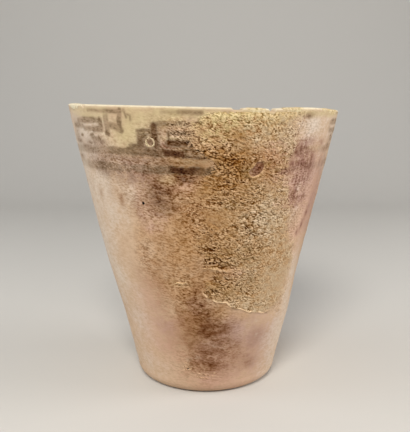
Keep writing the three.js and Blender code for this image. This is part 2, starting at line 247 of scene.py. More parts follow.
# %% The bands
BANDS = [
    {"z": 94.6, "half_width": 1.3,
     "at": (-180, -120, -75, -62, -43, -38, -20, -15.5, -14, -7.5, -6, 4, 12, 60, 75, 120, 180),
     "left": (0.4, 0.45, 0.3, 0.25, 0.38, 0.66, 0.68, 0.75, 0.96, 0.96, 0.36, 0.3, 0.1, 0.1, 0.3,
              0.45, 0.4)},
    {"z": 88.9, "half_width": 1.35,
     "at": (-180, -120, -62, -53, -35, -22, -14, -11, -4, 3, 6, 12, 60, 75, 120, 180),
     "left": (0.35, 0.4, 0.14, 0.36, 0.38, 0.6, 0.7, 0.92, 0.85, 0.66, 0.45, 0.05, 0.1, 0.3, 0.4,
              0.35)},
]
BAND_WOBBLE = 0.35
BAND_WAVES = 3
BAND_TURN = 200
BARE_SIDE = 45
BARE_HALF_WIDTH = 15
BARE_FADE = 5
BRUSH_SOFTNESS = 0.45


def painted(azimuth, z, points):
    paint = np.zeros(azimuth.shape)
    uneven = 0.3 * lumps(points, 1.6, 22)
    ragged = z + uneven * BRUSH_SOFTNESS
    for turn, sunk, wear in REPEATS:
        for a0, z0, a1, z1, half_width, left in FRET:
            moved = (a0 + turn, z0 - sunk, a1 + turn, z1 - sunk, half_width, left * wear)
            paint = np.maximum(paint, stroke_paint(azimuth, ragged, moved, BRUSH_SOFTNESS))
    paint = paint * ease(np.abs(azimuth - BARE_SIDE), BARE_HALF_WIDTH, BARE_HALF_WIDTH + BARE_FADE)
    for band in BANDS:
        height = band["z"] + BAND_WOBBLE * np.sin(np.radians(azimuth * BAND_WAVES + BAND_TURN))
        gap = np.abs(z - height + 0.35 * lumps(points, 3.0, 21) + 0.3 * lumps(points, 1.1, 23))
        left = np.interp(azimuth, band["at"], band["left"])
        paint = np.maximum(paint, left * ease(band["half_width"] - gap, -0.4, 0.4))
    return paint


print("bands at", [band["z"] for band in BANDS], "mm")

# %% [markdown]
# Under the paint the clay has no single colour. Fire, soil and roots left soft patches. Each is a spot at
# a place, with its half sizes and its strength, and the finish breaks its edge up with finer noise. The
# dark ones come first: brown stains, smudges of rubbed paint, and purple streaks.

# %% Dark patches
PATCHES = {}
PATCHES["stain"] = [
    (-18.5, 79.2, 4.4, 3.6, 0.36), (-20, 83, 2.6, 3.2, 0.4), (-13, 82, 3.2, 2.8, 0.3),
    (-13, 76, 4, 2, 0.4), (-7, 86.6, 3.4, 1.7, 0.88), (-4, 86.6, 2, 1.4, 0.5), (-30, 58, 3, 4.6, 0.2),
    (-25, 53, 5, 3, 0.16), (-31, 75, 2.2, 3, 0.16), (-39, 77.6, 1, 1.8, 0.6), (-18, 56, 4, 5, 0.1),
    (-54, 79, 1.4, 2.4, 0.2), (-37, 80, 3, 6, 0.14), (-25, 78, 5, 7, 0.12), (1.5, 28, 4.4, 2.6, 0.78),
    (-8, 27, 3.4, 6, 0.3), (12.6, 28.6, 2.4, 2.8, 0.24), (8, 29, 3, 2, 0.14), (1, 34.5, 5, 4.4, 0.46),
    (-2.5, 30.8, 1.6, 0.5, 0.4), (4, 24.6, 3, 0.7, 0.35), (4, 38.4, 5, 2, 0.2), (-5, 40, 4.4, 5, 0.32),
    (-2, 45, 3, 2.2, 0.4), (-6, 50, 5, 3.4, 0.16), (-13, 43, 3, 6, 0.12), (1, 19, 5, 3, 0.42),
    (1.5, 13, 5, 2.6, 0.55), (-9, 17, 1.6, 4, 0.2), (-13, 13, 3.4, 2.4, 0.16), (10, 19, 5, 6, 0.22),
    (35, 24, 4.5, 6, 0.1), (32.5, 12.2, 3, 2, 0.22), (22, 15, 7, 5, 0.26), (-13, 33, 2.6, 5, 0.16),
    (-22, 38, 6, 8, 0.12), (-20, 92, 6, 2.6, 0.2), (-20.2, 98.1, 0.9, 0.9, 0.3), (-22, 87, 6, 2, 0.2),
    (-30, 92, 5, 1.4, 0.15), (-12, 91.5, 4, 1.2, 0.2), (-5, 77, 8, 6, 0.13), (0.5, 76.6, 2.6, 1, 0.3),
    (-4, 70, 6, 5, 0.1), (-13, 76.6, 2, 1.2, 0.3), (13, 31, 7, 2.6, 0.1), (-22, 62, 5, 4, 0.1),
    (-23, 48, 6, 5, 0.12), (-36, 50, 5, 6, 0.08), (-18, 22, 6, 6, 0.1), (-2, 54, 4, 3, 0.14),
    (5, 30, 4, 2, 0.2), (-2, 80, 3, 4, 0.1), (-44, 80, 3, 4, 0.12), (21.8, 89.1, 3.6, 3, 0.6),
    (-150, 40, 12, 9, 0.4), (140, 62, 9, 14, 0.3), (175, 86, 10, 6, 0.3), (105, 30, 8, 10, 0.25),
    (-100, 70, 7, 12, 0.2), (-110, 22, 8, 6, 0.3), (-21.8, 77, 2.4, 2.6, 0.45), (9, 23.5, 5, 3, 0.26),
    (18, 20.5, 4, 3, 0.24), (-9, 22.5, 3.6, 4, 0.26), (5, 33, 3, 2, 0.2), (-2, 41, 2.5, 2, 0.24),
    (-13.5, 96.8, 2, 0.9, 0.3), (-2, 15, 3, 2, 0.2), (-1, 94.6, 4, 1.2, 0.25), (-9, 81, 2.5, 2, 0.24),
    (-2, 85, 2.5, 1.4, 0.25),
]
PATCHES["smudge"] = [
    (-19, 79, 4.6, 4.2, 0.42), (-17, 74.6, 3.4, 1.6, 0.3), (-22, 83, 2.2, 2.4, 0.2),
    (-47, 89.4, 6, 2.2, 0.6), (-38, 88.4, 7, 2.4, 0.22), (-28, 89, 6, 2.4, 0.3), (-50, 92.5, 8, 2, 0.2),
    (-56, 95.5, 6, 1.6, 0.35), (-68, 91.6, 4, 1.4, 0.45), (-66, 97.6, 4, 1, 0.35),
    (-50, 97.6, 6, 1.8, 0.3), (-36, 93.4, 5, 1.6, 0.3), (-20, 92, 6, 3, 0.25), (-24, 96.4, 4, 1.2, 0.5),
    (-44, 86.6, 6, 2, 0.25), (-58, 89, 4, 2, 0.2), (-62, 104, 6, 2, 0.15), (-30, 85.4, 6, 2, 0.3),
    (-25, 94.4, 6, 1.4, 0.35), (-2, 90, 4, 3, 0.25), (-12, 102.6, 4, 2, 0.2), (-9, 98, 3, 1.4, 0.3),
    (-16, 88.6, 4, 1.6, 0.35), (-6.5, 86.2, 2.8, 1.3, 0.55), (-9, 94.4, 5, 1.4, 0.3),
    (-67, 99.5, 4, 3, 0.3), (-9, 97.4, 4, 1.6, 0.3), (-44, 97.4, 3, 1.6, 0.35), (-44, 93.4, 5, 2, 0.25),
    (43.4, 106.7, 2.8, 1, 0.5), (38, 107.1, 0.9, 0.4, 0.35), (64, 94.6, 5, 0.8, 0.3),
    (69, 97.6, 3, 2.6, 0.3), (-17.6, 99.8, 1.8, 3.6, 0.5), (-20.2, 98.1, 1, 1, 0.9),
    (-23.6, 98.6, 1.8, 2.4, 0.45), (73, 70, 6, 30, 0.25), (47, 69, 3, 3, 0.2), (100, 90, 20, 4, 0.3),
    (-140, 92, 18, 4, 0.3), (-18.4, 99.4, 1.8, 3.6, 0.3), (-9, 91.5, 5, 1.4, 0.2),
    (-28, 92.3, 8, 1, 0.2),
]
PATCHES["streak"] = [
    (21.8, 89.1, 3.8, 3.2, 0.95), (46, 86, 7, 10, 0.22), (54.4, 89.5, 1.6, 3, 0.3),
    (41.5, 95.2, 3.8, 2.3, 0.85), (46.6, 94, 2.4, 2.6, 0.6), (40, 90, 3.6, 1.6, 0.65),
    (47, 89.6, 4.5, 2.2, 0.8), (51.6, 90.6, 1.3, 3.8, 0.95), (53, 86.4, 1, 1.4, 0.5),
    (34.8, 87.8, 3.8, 1.4, 0.85), (43.8, 79.4, 1.7, 4.2, 0.75), (49, 77, 3.4, 1.6, 0.6),
    (52.6, 77.6, 0.9, 0.9, 0.5), (44.5, 84.8, 3, 1.2, 0.55), (40, 77, 1.8, 2.4, 0.45),
    (49.6, 83.6, 1.4, 3.6, 0.3), (46, 74.6, 5, 1.2, 0.35), (60.6, 70.6, 1.2, 2.2, 0.65),
    (57.8, 66.4, 1.2, 2.2, 0.6), (55, 63.6, 1.4, 1.4, 0.45), (58, 97.2, 2.4, 1.2, 0.45),
    (61, 90, 1.4, 3, 0.35), (47, 98, 4, 1.2, 0.3), (39.5, 92.8, 2, 1.2, 0.4), (63, 76, 3, 8, 0.2),
    (66, 90, 3, 7, 0.25), (-97, 60, 6, 16, 0.3), (85, 60, 5, 14, 0.3),
]
print("dark patches:", {name: len(places) for name, places in PATCHES.items()})

# %% [markdown]
# The light patches are mostly wider: tan in the middle, pink low down, a pale film on the left, cream
# under the lip. The big pale patches near both sides are partly pale clay and partly painted sheen of the
# light that grazes the edges. A last list says where the skin of the clay is rough, because there the
# colour breaks up into grains.

# %% Light patches and rough skin
PATCHES["tan"] = [
    (-9, 66, 12, 14, 0.9), (-14, 55, 8, 8, 0.55), (-2, 82, 7, 8, 0.85), (-8, 45, 9, 8, 0.7),
    (10, 70, 14, 12, 0.85), (-6, 91.8, 8, 2, 0.9), (25, 88, 12, 14, 0.5), (-22, 68, 6, 10, 0.3),
    (-9, 31, 7, 14, 0.8), (8, 60, 10, 10, 0.7), (-2, 12, 8, 7, 0.45), (-6, 101, 8, 7, 0.4),
    (9, 36, 4, 3.5, 0.8), (24, 33.6, 3, 2, 0.6), (16, 34, 5, 2, 0.4), (160, 50, 20, 22, 0.6),
    (-140, 85, 15, 12, 0.4), (-1, 94.6, 5, 1.3, 0.9), (-13, 85.8, 5, 2, 0.6),
]
PATCHES["pink"] = [
    (-27, 27, 9, 12, 0.35), (-23, 76, 5, 8, 0.4), (62, 80, 9, 14, 0.95), (58, 66, 6, 8, 0.7),
    (18, 14, 14, 8, 0.7), (36, 24, 9, 9, 0.3), (-25, 20, 8, 8, 0.3), (-45, 26, 9, 12, 0.3),
    (-36, 40, 8, 10, 0.2), (44, 86, 7, 12, 0.8), (10, 6, 14, 5, 0.5), (-30, 87, 6, 3, 0.4),
    (-7, 83.6, 4, 2.2, 0.5), (100, 66, 16, 22, 0.6), (-125, 55, 14, 18, 0.5), (70, 68, 8, 10, 0.6),
    (-13.5, 96.8, 2, 1, 0.9), (8, 20, 9, 8, 0.5),
]
PATCHES["mauve"] = [
    (-38, 91.5, 12, 3, 0.3), (-56, 98, 8, 8, 0.3), (34, 24, 9, 8, 0.6), (22, 28, 7, 6, 0.55),
    (30, 13, 7, 4, 0.5), (46, 18, 7, 10, 0.4), (64, 76, 5, 14, 0.35), (55, 84, 6, 8, 0.4),
    (45, 90, 6, 10, 0.5), (-23, 76, 5, 8, 0.35), (-26, 30, 6, 8, 0.12), (-27, 88, 8, 3, 0.4),
    (-52, 94, 10, 5, 0.4), (-3, 39, 4, 3, 0.4), (14, 33, 5, 2, 0.3), (-20, 98, 5, 4, 0.5),
    (100, 60, 10, 16, 0.4), (12, 25, 7, 6, 0.45), (3, 20, 6, 6, 0.3),
]
# Pale film and specks; the large patches near both sides are partly painted sheen.
PATCHES["pale"] = [
    (46.2, 81, 1.5, 1.4, 0.7), (2.5, 23.7, 2.4, 0.4, 0.8), (6, 22, 1.1, 0.5, 0.5),
    (12, 21, 1, 0.9, 0.4), (2, 33.4, 0.9, 0.5, 0.5), (-6, 17, 1.2, 0.4, 0.5), (-12, 15.6, 1, 0.5, 0.6),
    (23, 18.4, 0.6, 0.9, 0.4), (33, 30.5, 0.8, 0.3, 0.6), (35, 24, 0.6, 0.3, 0.6),
    (0.5, 29.6, 1.6, 0.4, 0.4), (-62, 84, 12, 16, 0.85), (-66, 62, 8, 18, 0.7), (-70, 92, 8, 16, 0.9),
    (-50, 76, 8, 10, 0.5), (-56, 45, 8, 14, 0.45), (48, 103, 10, 4.6, 0.95), (62, 20, 8, 14, 0.7),
    (64, 46, 6, 12, 0.6), (-52, 26, 7, 12, 0.4), (-58, 101, 12, 8, 0.9), (-46, 103, 8, 5, 0.5),
    (-40, 80, 7, 8, 0.35), (43, 72, 5, 3, 0.35), (70, 98, 8, 10, 0.7), (-95, 40, 14, 26, 0.6),
    (120, 92, 20, 10, 0.5), (-165, 20, 16, 10, 0.6), (90, 20, 16, 16, 0.5), (-54, 9, 12, 5, 0.35),
]
PATCHES["cream"] = [
    (-30, 101, 8, 5, 0.95), (-22, 106, 9, 2.6, 0.75), (-50, 108.8, 16, 1.4, 0.7),
    (-52, 106.9, 7, 0.8, 0.6), (4, 106.4, 12, 2, 0.8), (62, 107.4, 12, 1, 0.9),
    (40, 107.6, 14, 1.2, 0.95), (22, 107.8, 10, 1, 0.8), (-6, 91.9, 7, 0.9, 0.25),
    (-12, 47.5, 3, 1, 0.5), (50, 95.4, 6, 0.7, 0.4), (-10, 99.6, 6, 0.6, 0.5), (150, 104, 20, 4, 0.7),
    (-120, 103, 18, 4, 0.6), (-14.5, 85.6, 4, 1.8, 0.22), (0, 94.7, 3, 0.8, 0.3),
    (-10, 108, 13, 1.8, 0.85), (-47, 106.6, 10, 1.4, 0.5),
]
PATCHES["rough"] = [
    (-12, 82, 9, 9, 0.8), (-4, 72, 9, 10, 0.5), (-6, 58, 9, 9, 0.52), (-8, 46, 9, 8, 0.7),
    (-6, 86, 4, 2.4, 1), (-22, 62, 8, 12, 0.3), (-2, 37, 11, 9, 0.55), (-4, 14, 10, 8, 0.42),
    (-3, 94.8, 4, 1.3, 1), (1, 97, 4, 3, 0.5), (-27, 90.5, 12, 3.2, 0.75), (-46, 92, 12, 7, 0.6),
    (-19, 98.6, 6, 5, 0.7), (12, 20, 8, 8, 0.25), (-30, 56, 4, 6, 0.6), (46, 84, 9, 14, 0.7),
    (44, 100, 5, 8, 0.35), (-8, 98, 10, 8, 0.7), (10, 30, 8, 8, 0.25), (21.8, 89.1, 3, 2.6, 1),
    (-24, 74, 6, 8, 0.4), (-46, 102, 7, 4, 0.2), (-30, 82, 10, 8, 0.3), (44, 68, 8, 8, 0.5),
    (170, 60, 30, 30, 0.4), (-120, 60, 20, 30, 0.35), (110, 40, 20, 25, 0.4),
]


def spot(azimuth, z, a, height, half_width, half_height):
    across = unrolled(wrapped(azimuth - a), z) / half_width
    return np.exp(-(across**2 + ((z - height) / half_height) ** 2))


def patch(azimuth, z, name):
    left = np.zeros(azimuth.shape)
    for *place, strength in PATCHES[name]:
        left = left + strength * spot(azimuth, z, *place) * (1 - left)
    return left


print("patches in all:", sum(len(places) for places in PATCHES.values()))

# %% [markdown]
# A finish is a network of nodes, and wiring one by hand hides what it does. This small bench gives each
# kind of node a short name, so that a finish reads as a recipe. Colours are mixed as the eye sees them,
# with channels from 0 to 255, because grain then lightens and darkens every colour by the same step. Only
# the last node turns the mix into light, with its gamma. A cloud is noise, and its first two numbers are
# the size of its lumps across and up.

# %% A bench for finishes
GAMMA = 2.2
GRAIN_TOP = 0.73


def seen(red, green, blue):
    return (red / 255, green / 255, blue / 255, 1.0)


class Bench:
    def __init__(self, name):
        self.material = bpy.data.materials.new(name)
        self.material.use_nodes = True
        self.tree = self.material.node_tree
        self.tree.nodes.clear()
        self.place = self.node("ShaderNodeTexCoord", {}).outputs["Object"]

    def node(self, kind, inputs, **settings):
        made = self.tree.nodes.new(kind)
        for name, value in settings.items():
            setattr(made, name, value)
        for name, value in inputs.items():
            if isinstance(value, bpy.types.NodeSocket):
                self.tree.links.new(value, made.inputs[name])
            else:
                made.inputs[name].default_value = value
        return made

    def mark(self, name):
        return self.node("ShaderNodeAttribute", {}, attribute_name=name).outputs["Fac"]

    def cloud(self, across, up, detail=3.0, roughness=0.55, slope=0.0, shift=0.0):
        spread = self.node("ShaderNodeMapping", {
            "Vector": self.place, "Location": (shift * MM, shift * MM, shift * MM),
            "Rotation": (0, slope, 0), "Scale": (across * MM, across * MM, up * MM),
        }, vector_type="TEXTURE")
        return self.node("ShaderNodeTexNoise", {
            "Vector": spread.outputs["Vector"], "Scale": 1.0, "Detail": detail, "Roughness": roughness,
        }).outputs[0]

    def sum(self, kind, a, b, clamp=False):
        return self.node("ShaderNodeMath", {0: a, 1: b}, operation=kind, use_clamp=clamp).outputs[0]

    def add(self, a, b):
        return self.sum("ADD", a, b)

    def less(self, a, b):
        return self.sum("SUBTRACT", a, b)

    def scaled(self, value, by):
        return self.sum("MULTIPLY", value, by)

    def times(self, a, b):
        return self.sum("MULTIPLY", a, b, clamp=True)

    def both(self, a, a_share, b, b_share):
        return self.add(self.scaled(a, a_share), self.scaled(b, b_share))

    def grey(self, value):
        return self.node("ShaderNodeCombineColor", {0: value, 1: value, 2: value}).outputs[0]

    def step(self, value, low_end, high_end, low_out=0.0, high_out=1.0):
        return self.node("ShaderNodeMapRange", {
            "Value": value, "From Min": low_end, "From Max": high_end,
            "To Min": low_out, "To Max": high_out,
        }, interpolation_type="SMOOTHSTEP").outputs["Result"]

    def worn(self, mark, noise, soft):
        left = self.less(noise, self.less(1.0, mark))
        return self.times(self.step(left, -soft, soft), self.step(mark, 0.0, 0.12))

    def mottled(self, mark, noise, swing):
        return self.times(mark, self.step(noise, 0.0, 1.0, 1 - swing, 1 + swing))

    def blend(self, share, under, over, kind="MIX"):
        return self.node("ShaderNodeMix", {0: share, 6: under, 7: over}, data_type="RGBA",
                         blend_type=kind, clamp_result=kind != "MIX").outputs[2]

    def grained(self, colour, tone, low_end, high_end, share):
        curve = self.step(tone, low_end, high_end, 0.0, GRAIN_TOP)
        return self.blend(share, colour, self.grey(curve), "LINEAR_LIGHT")

    def dot(self, azimuth, z, radius):
        middle = hand_made(around(np.array(azimuth), outer_radius(z), np.array(z))) * MM
        away = self.node("ShaderNodeVectorMath", {0: self.place, 1: middle}, operation="DISTANCE")
        return self.step(away.outputs["Value"], radius * 0.7 * MM, radius * 1.3 * MM, 1.0, 0.0)

    def finish(self, colour, roughness, height, depth, shine=0.12):
        bump = self.node("ShaderNodeBump", {"Strength": 1.0, "Distance": depth * MM, "Height": height})
        light = self.node("ShaderNodeGamma", {"Color": colour, "Gamma": GAMMA})
        shader = self.node("ShaderNodeBsdfPrincipled", {
            "Base Color": light.outputs[0], "Roughness": roughness,
            "Normal": bump.outputs["Normal"], "Specular IOR Level": shine,
        })
        self.node("ShaderNodeOutputMaterial", {"Surface": shader.outputs[0]})
        return self.material


# %% [markdown]
# The clay's finish is layered the way the pot was: buff clay, then its patches of colour, then streaks,
# stains and the worn paint, and last the grain of its skin. Each layer is a share, broken up by noise of
# its own size, so that nothing ends in a smooth line. The lime needs the same ground under its thin
# places, so the ground is a function of its own.

# %% The ground that clay and lime share
BUFF = seen(192, 163, 135)
GROUND_PATCHES = {
    "tan": seen(168, 128, 88), "pink": seen(188, 150, 130), "mauve": seen(170, 140, 127),
    "pale": seen(201, 185, 168), "cream": seen(190, 171, 131),
}
STAIN = seen(84, 44, 16)
STREAK = seen(116, 80, 66)
SMUDGE = seen(94, 70, 52)
PAINT_COLD = seen(104, 84, 62)
PAINT_WARM = seen(66, 38, 18)
CLAY_GRAIN = 0.36
PATCH_SOFTNESS = 0.8


def ground(bench):
    broad = bench.cloud(9.0, 9.0, 4.0, 0.6)
    middling = bench.cloud(2.6, 1.8, 4.0, 0.62, shift=3.0)
    grain = bench.cloud(1.5, 0.62, 2.0, 0.6, slope=0.15, shift=5.0)
    fine = bench.cloud(0.8, 0.42, 1.0, 0.5, slope=0.2, shift=6.0)
    drips = bench.cloud(0.9, 2.6, 2.0, 0.6, shift=9.0)
    mixed = bench.both(middling, 0.5, grain, 0.5)
    speckle = bench.step(mixed, 0.36, 0.64)
    uneven = bench.step(bench.both(broad, 0.5, mixed, 0.5), 0.3, 0.7)
    blotch = bench.step(bench.both(broad, 0.4, middling, 0.6), 0.36, 0.64)
    colour = BUFF
    for name, over in GROUND_PATCHES.items():
        colour = bench.blend(bench.worn(bench.mark(name), uneven, PATCH_SOFTNESS), colour, over)
    colour = bench.grained(colour, mixed, 0.25, 0.63, 0.04)
    streak = bench.times(bench.mark("streak"), bench.step(drips, 0.32, 0.62, 0.4, 1.25))
    colour = bench.blend(bench.mottled(streak, speckle, 0.3), colour, STREAK)
    colour = bench.blend(bench.mottled(bench.mark("stain"), blotch, 0.4), colour, STAIN)
    colour = bench.blend(bench.mottled(bench.mark("smudge"), speckle, 0.6), colour, SMUDGE)
    paint = bench.mottled(bench.mark("paint"), speckle, 0.38)
    pigment = bench.blend(bench.step(bench.mark("paint"), 0.6, 0.92), PAINT_COLD, PAINT_WARM)
    colour = bench.blend(paint, colour, pigment)
    skin = bench.both(grain, 0.6, fine, 0.4)
    colour = bench.grained(colour, skin, 0.27, 0.61, bench.scaled(bench.mark("rough"), CLAY_GRAIN))
    return colour, grain, middling


# %% [markdown]
# The clay adds only what the lime doesn't share: soil inside, a pale lip that is partly worn clay and
# partly a painted highlight along its top, and two pits drawn as black dots of painted shade. Its bump
# is the grain where the skin is rough, and faint brush lines that run round.

# %% The clay's finish
# Pale worn lip and a painted highlight along its top; also the pale lime of the ring.
LIP_PALE_AND_HIGHLIGHT = seen(222, 210, 182)
SOIL = seen(150, 120, 90)
# Black dots of painted shade mark two pits that have no hole in the mesh.
PIT_SHADE_BLACK = seen(18, 12, 9)
PITS = [(-26.8, 76.3, 0.5), (-13, 11, 0.4)]
CLAY_BUMP = 0.22


def clay_finish():
    bench = Bench("clay")
    colour, grain, middling = ground(bench)
    colour = bench.blend(bench.mark("soil"), colour, SOIL)
    # Pale worn lip with a painted highlight along its top.
    lip = bench.times(bench.mark("lip"), bench.step(middling, 0.2, 0.6, 0.6, 1.0))
    colour = bench.blend(lip, colour, LIP_PALE_AND_HIGHLIGHT)
    # Painted shade: a black dot where each pit is.
    for azimuth, z, radius in PITS:
        colour = bench.blend(bench.dot(azimuth, z, radius), colour, PIT_SHADE_BLACK)
    brushed = bench.cloud(3.0, 0.45, 3.0, 0.55, shift=11.0)
    roughness = bench.step(brushed, 0.3, 0.7, 0.78, 0.93)
    swing = bench.step(bench.mark("rough"), 0.0, 1.0, 0.12, 1.0)
    height = bench.both(grain, swing, brushed, 0.25)
    return bench.finish(colour, roughness, height, CLAY_BUMP)


clay = clay_finish()
print("clay finish:", len(clay.node_tree.nodes), "nodes")

# %% [markdown]
# Every clay surface here is a grid wrapped round the axis, with close columns in front, where the camera
# looks. One helper turns a grid of points into a mesh and writes the marks, such as how much paint is
# left, onto its points.

# %% From grids to meshes
FRONT = 76
azimuths = np.concatenate([np.arange(-FRONT, FRONT, 0.5), np.arange(FRONT, 360 - FRONT, 1.0)])
azimuths = np.where(azimuths > 180, azimuths - 360, azimuths)
COLUMNS = len(azimuths)
print("columns round the axis:", COLUMNS)


def in_scene(name, data):
    item = bpy.data.objects.new(name, data)
    bpy.context.scene.collection.objects.link(item)
    return item


def crease(mesh, corner):
    ends = np.zeros(len(mesh.edges) * 2, np.int32)
    mesh.edges.foreach_get("vertices", ends)
    layer = mesh.attributes.new("sharp_edge", "BOOLEAN", "EDGE")
    layer.data.foreach_set("value", corner[ends.reshape(-1, 2)].all(1))


def mesh_of(name, points, faces, marks, finish, node, corner=None):
    mesh = bpy.data.meshes.new(name)
    mesh.from_pydata((points * MM).tolist(), [], faces)
    mesh.validate()
    for mark, values in marks.items():
        layer = mesh.attributes.new(mark, "FLOAT", "POINT")
        layer.data.foreach_set("value", np.ascontiguousarray(values, np.float32))
    mesh.shade_smooth()
    if corner is not None:
        crease(mesh, corner)
    mesh.materials.append(finish)
    piece = in_scene(name, mesh)
    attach(piece, "root")
    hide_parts(node)
    print(name, len(mesh.polygons), "faces")


def wrap_quads(rows, closed):
    strips = rows if closed else rows - 1
    row, column = np.meshgrid(np.arange(strips), np.arange(COLUMNS), indexing="ij")
    here, above = row * COLUMNS, (row + 1) % rows * COLUMNS
    beside = (column + 1) % COLUMNS
    quads = np.stack([here + column, here + beside, above + beside, above + column], -1)
    return quads.reshape(-1, 4).tolist()


def spun(rows):
    azimuth = np.broadcast_to(azimuths, (len(rows), COLUMNS))
    radius = np.broadcast_to(rows[:, :1], azimuth.shape)
    z = np.broadcast_to(rows[:, 1:], azimuth.shape)
    return np.arange(len(rows))[:, None], azimuth, radius, z


def per_point(marks):
    return {name: values.reshape(-1) for name, values in marks.items()}


# %% [markdown]
# The wall's section is a list of rows, each with a radius and a height. It goes up the outside, with
# close rows where the frieze needs them, over the lip, down the inside with its finger rings, and round
# the fillet to the floor.

# %% The wall's rows
FRIEZE_STARTS = 84.0
PLAIN_STEP = 1.25
RING_PITCH = 11.0
RING_DEPTH = 0.3
RING_FADE = 6
FILLET_TURN = -math.pi / 2.4
FRIEZE_ROWS, LIP_ROWS, INSIDE_ROWS, FILLET_ROWS = 60, 16, 40, 8


def wall_rows():
    plain = np.arange(BASE_THICKNESS, FRIEZE_STARTS, PLAIN_STEP)
    frieze = np.linspace(FRIEZE_STARTS, LIP_CENTRE, FRIEZE_ROWS)
    outside_z = np.concatenate([plain, frieze])
    outside = np.stack([outer_radius(outside_z), outside_z], -1)
    lip = np.stack(lip_point(np.linspace(0, np.pi, LIP_ROWS)[1:-1], 0), -1)
    fillet_top = BASE_THICKNESS + CORNER_FILLET
    inside_z = np.linspace(LIP_CENTRE, fillet_top, INSIDE_ROWS)
    fade = np.clip((1 - share_up(inside_z)) * RING_FADE, 0, 1)
    rings = RING_DEPTH / 2 * np.sin(2 * np.pi * inside_z / RING_PITCH) * fade
    inside = np.stack([inner_radius(inside_z) + rings, inside_z], -1)
    turn = np.linspace(0, FILLET_TURN, FILLET_ROWS)[1:]
    fillet_radius = inside[-1, 0] - CORNER_FILLET + CORNER_FILLET * np.cos(turn)
    fillet = np.stack([fillet_radius, fillet_top + CORNER_FILLET * np.sin(turn)], -1)
    seat = np.array([[fillet[-1, 0], BASE_THICKNESS]])
    rows = np.concatenate([outside, lip, inside, fillet, seat])
    return rows, len(outside), len(outside) + len(lip)


print("rows in the wall:", len(wall_rows()[0]))

# %% [markdown]
# The clay is a little uneven everywhere, in lumps from one to sixteen millimetres. The heights of
# strokes and patches were measured on the photo along lines of sight, and all came out a pixel too
# high, so READING_ERROR takes that off again.

# %% Marks on the clay
READING_ERROR = 0.35


def clay_relief(place):
    relief = 0.09 * lumps(place, 3.2, 1) + 0.12 * lumps(place, 16.0, 2)
    relief = relief + 0.05 * lumps(place * [1, 1, 5], 12.0, 3) + 0.035 * lumps(place, 1.3, 4)
    return relief * ease(place[..., 2], BASE_THICKNESS, BASE_THICKNESS + 3)


def seen_height(azimuth, z):
    return hand_made(around(azimuth, outer_radius(z), z))[..., 2] + READING_ERROR


def clay_marks(azimuth, z, place):
    height = seen_height(azimuth, z)
    marks = {name: patch(azimuth, height, name) for name in PATCHES}
    marks["paint"] = painted(azimuth, height, place)
    return marks


# %% [markdown]
# The lip is thin and has been knocked. Each chip is a place, a width and a depth, and lowers the lip
# there with a ragged floor. Those in front are the photo's, and the others are guesses for the side that
# is turned away.

# %% The wall
CHIPS = [
    (-53, 2.6, 0.8), (12, 4.2, 0.6), (25.5, 3, 0.8), (117, 5.5, 1.1), (168, 3.4, 0.7), (-129, 4.6, 0.9),
]
CHIP_STARTS = RIM_HEIGHT - 2.6
CHIP_FULL = RIM_HEIGHT - 0.8
OUTSIDE_PUSH, LIP_PUSH, INSIDE_PUSH = 1.0, 0.35, -1.3
SOIL_TOP, SOIL_WANDER, SOIL_FADE, SOIL_SHARE = 60, 14, 50, 0.8


def chipped(points, azimuth, lip_share):
    drop = np.zeros(azimuth.shape)
    for a, width, depth in CHIPS:
        across = np.abs(unrolled(wrapped(azimuth - a), RIM_HEIGHT)) + 0.3 * lumps(points, 1.1, 31)
        chip = depth * ease(width / 2 - across, 0, 0.7) * (1 + 0.3 * lumps(points, 0.8, 32))
        drop = np.maximum(drop, chip)
    points[..., 2] -= drop * lip_share
    return drop


def build_wall():
    rows, outside_end, lip_end = wall_rows()
    row, azimuth, radius, z = spun(rows)
    relief = clay_relief(around(azimuth, outer_radius(z), z))
    push = np.where(row < outside_end, OUTSIDE_PUSH, np.where(row < lip_end, LIP_PUSH, INSIDE_PUSH))
    flat = around(azimuth, radius + relief * push, z)
    drop = chipped(flat, azimuth, ease(z, CHIP_STARTS, CHIP_FULL))
    outside = np.where(row < lip_end, 1.0, 0.0)
    marks = {name: values * outside for name, values in clay_marks(azimuth, z, flat).items()}
    # The lip mark is pale worn clay and a painted highlight along the top of the lip, less in the chips.
    marks["lip"] = ease(z, RIM_HEIGHT - 0.9, RIM_HEIGHT - 0.2) * (1 - ease(drop, 0.1, 0.5) * 0.85)
    soil = SOIL_SHARE * ease(SOIL_TOP - z + SOIL_WANDER * lumps(flat, 12.0, 5), 0, SOIL_FADE)
    marks["soil"] = np.where(row < lip_end, 0, soil)
    seam = np.isin(np.arange(z.size) // COLUMNS, (0, len(rows) - 1, len(rows) - 2))
    faces = wrap_quads(len(rows), True)
    points = hand_made(flat).reshape(-1, 3)
    mesh_of("beaker_wall", points, faces, per_point(marks), clay, "wall", seam)


build_wall()

# %% [markdown]
# The base disc closes the pot. Its underside is flat where it stood on the turning board, with faint
# rings of the scraper and a worn, rounded foot. Its top is the floor inside, with the potter's last
# finger spiral and a little soil that never washed out.

# %% The base's rows
FLAT_RADIUS = outer_radius(FOOT_ROUNDING) - FOOT_ROUNDING
TOP_RADIUS = FOOT_RADIUS - 4
POLE_RADIUS = 0.6
SIDE_ROW = 5.8
UNDER_ROWS, FOOT_ROWS, TOP_ROWS = 26, 12, 30


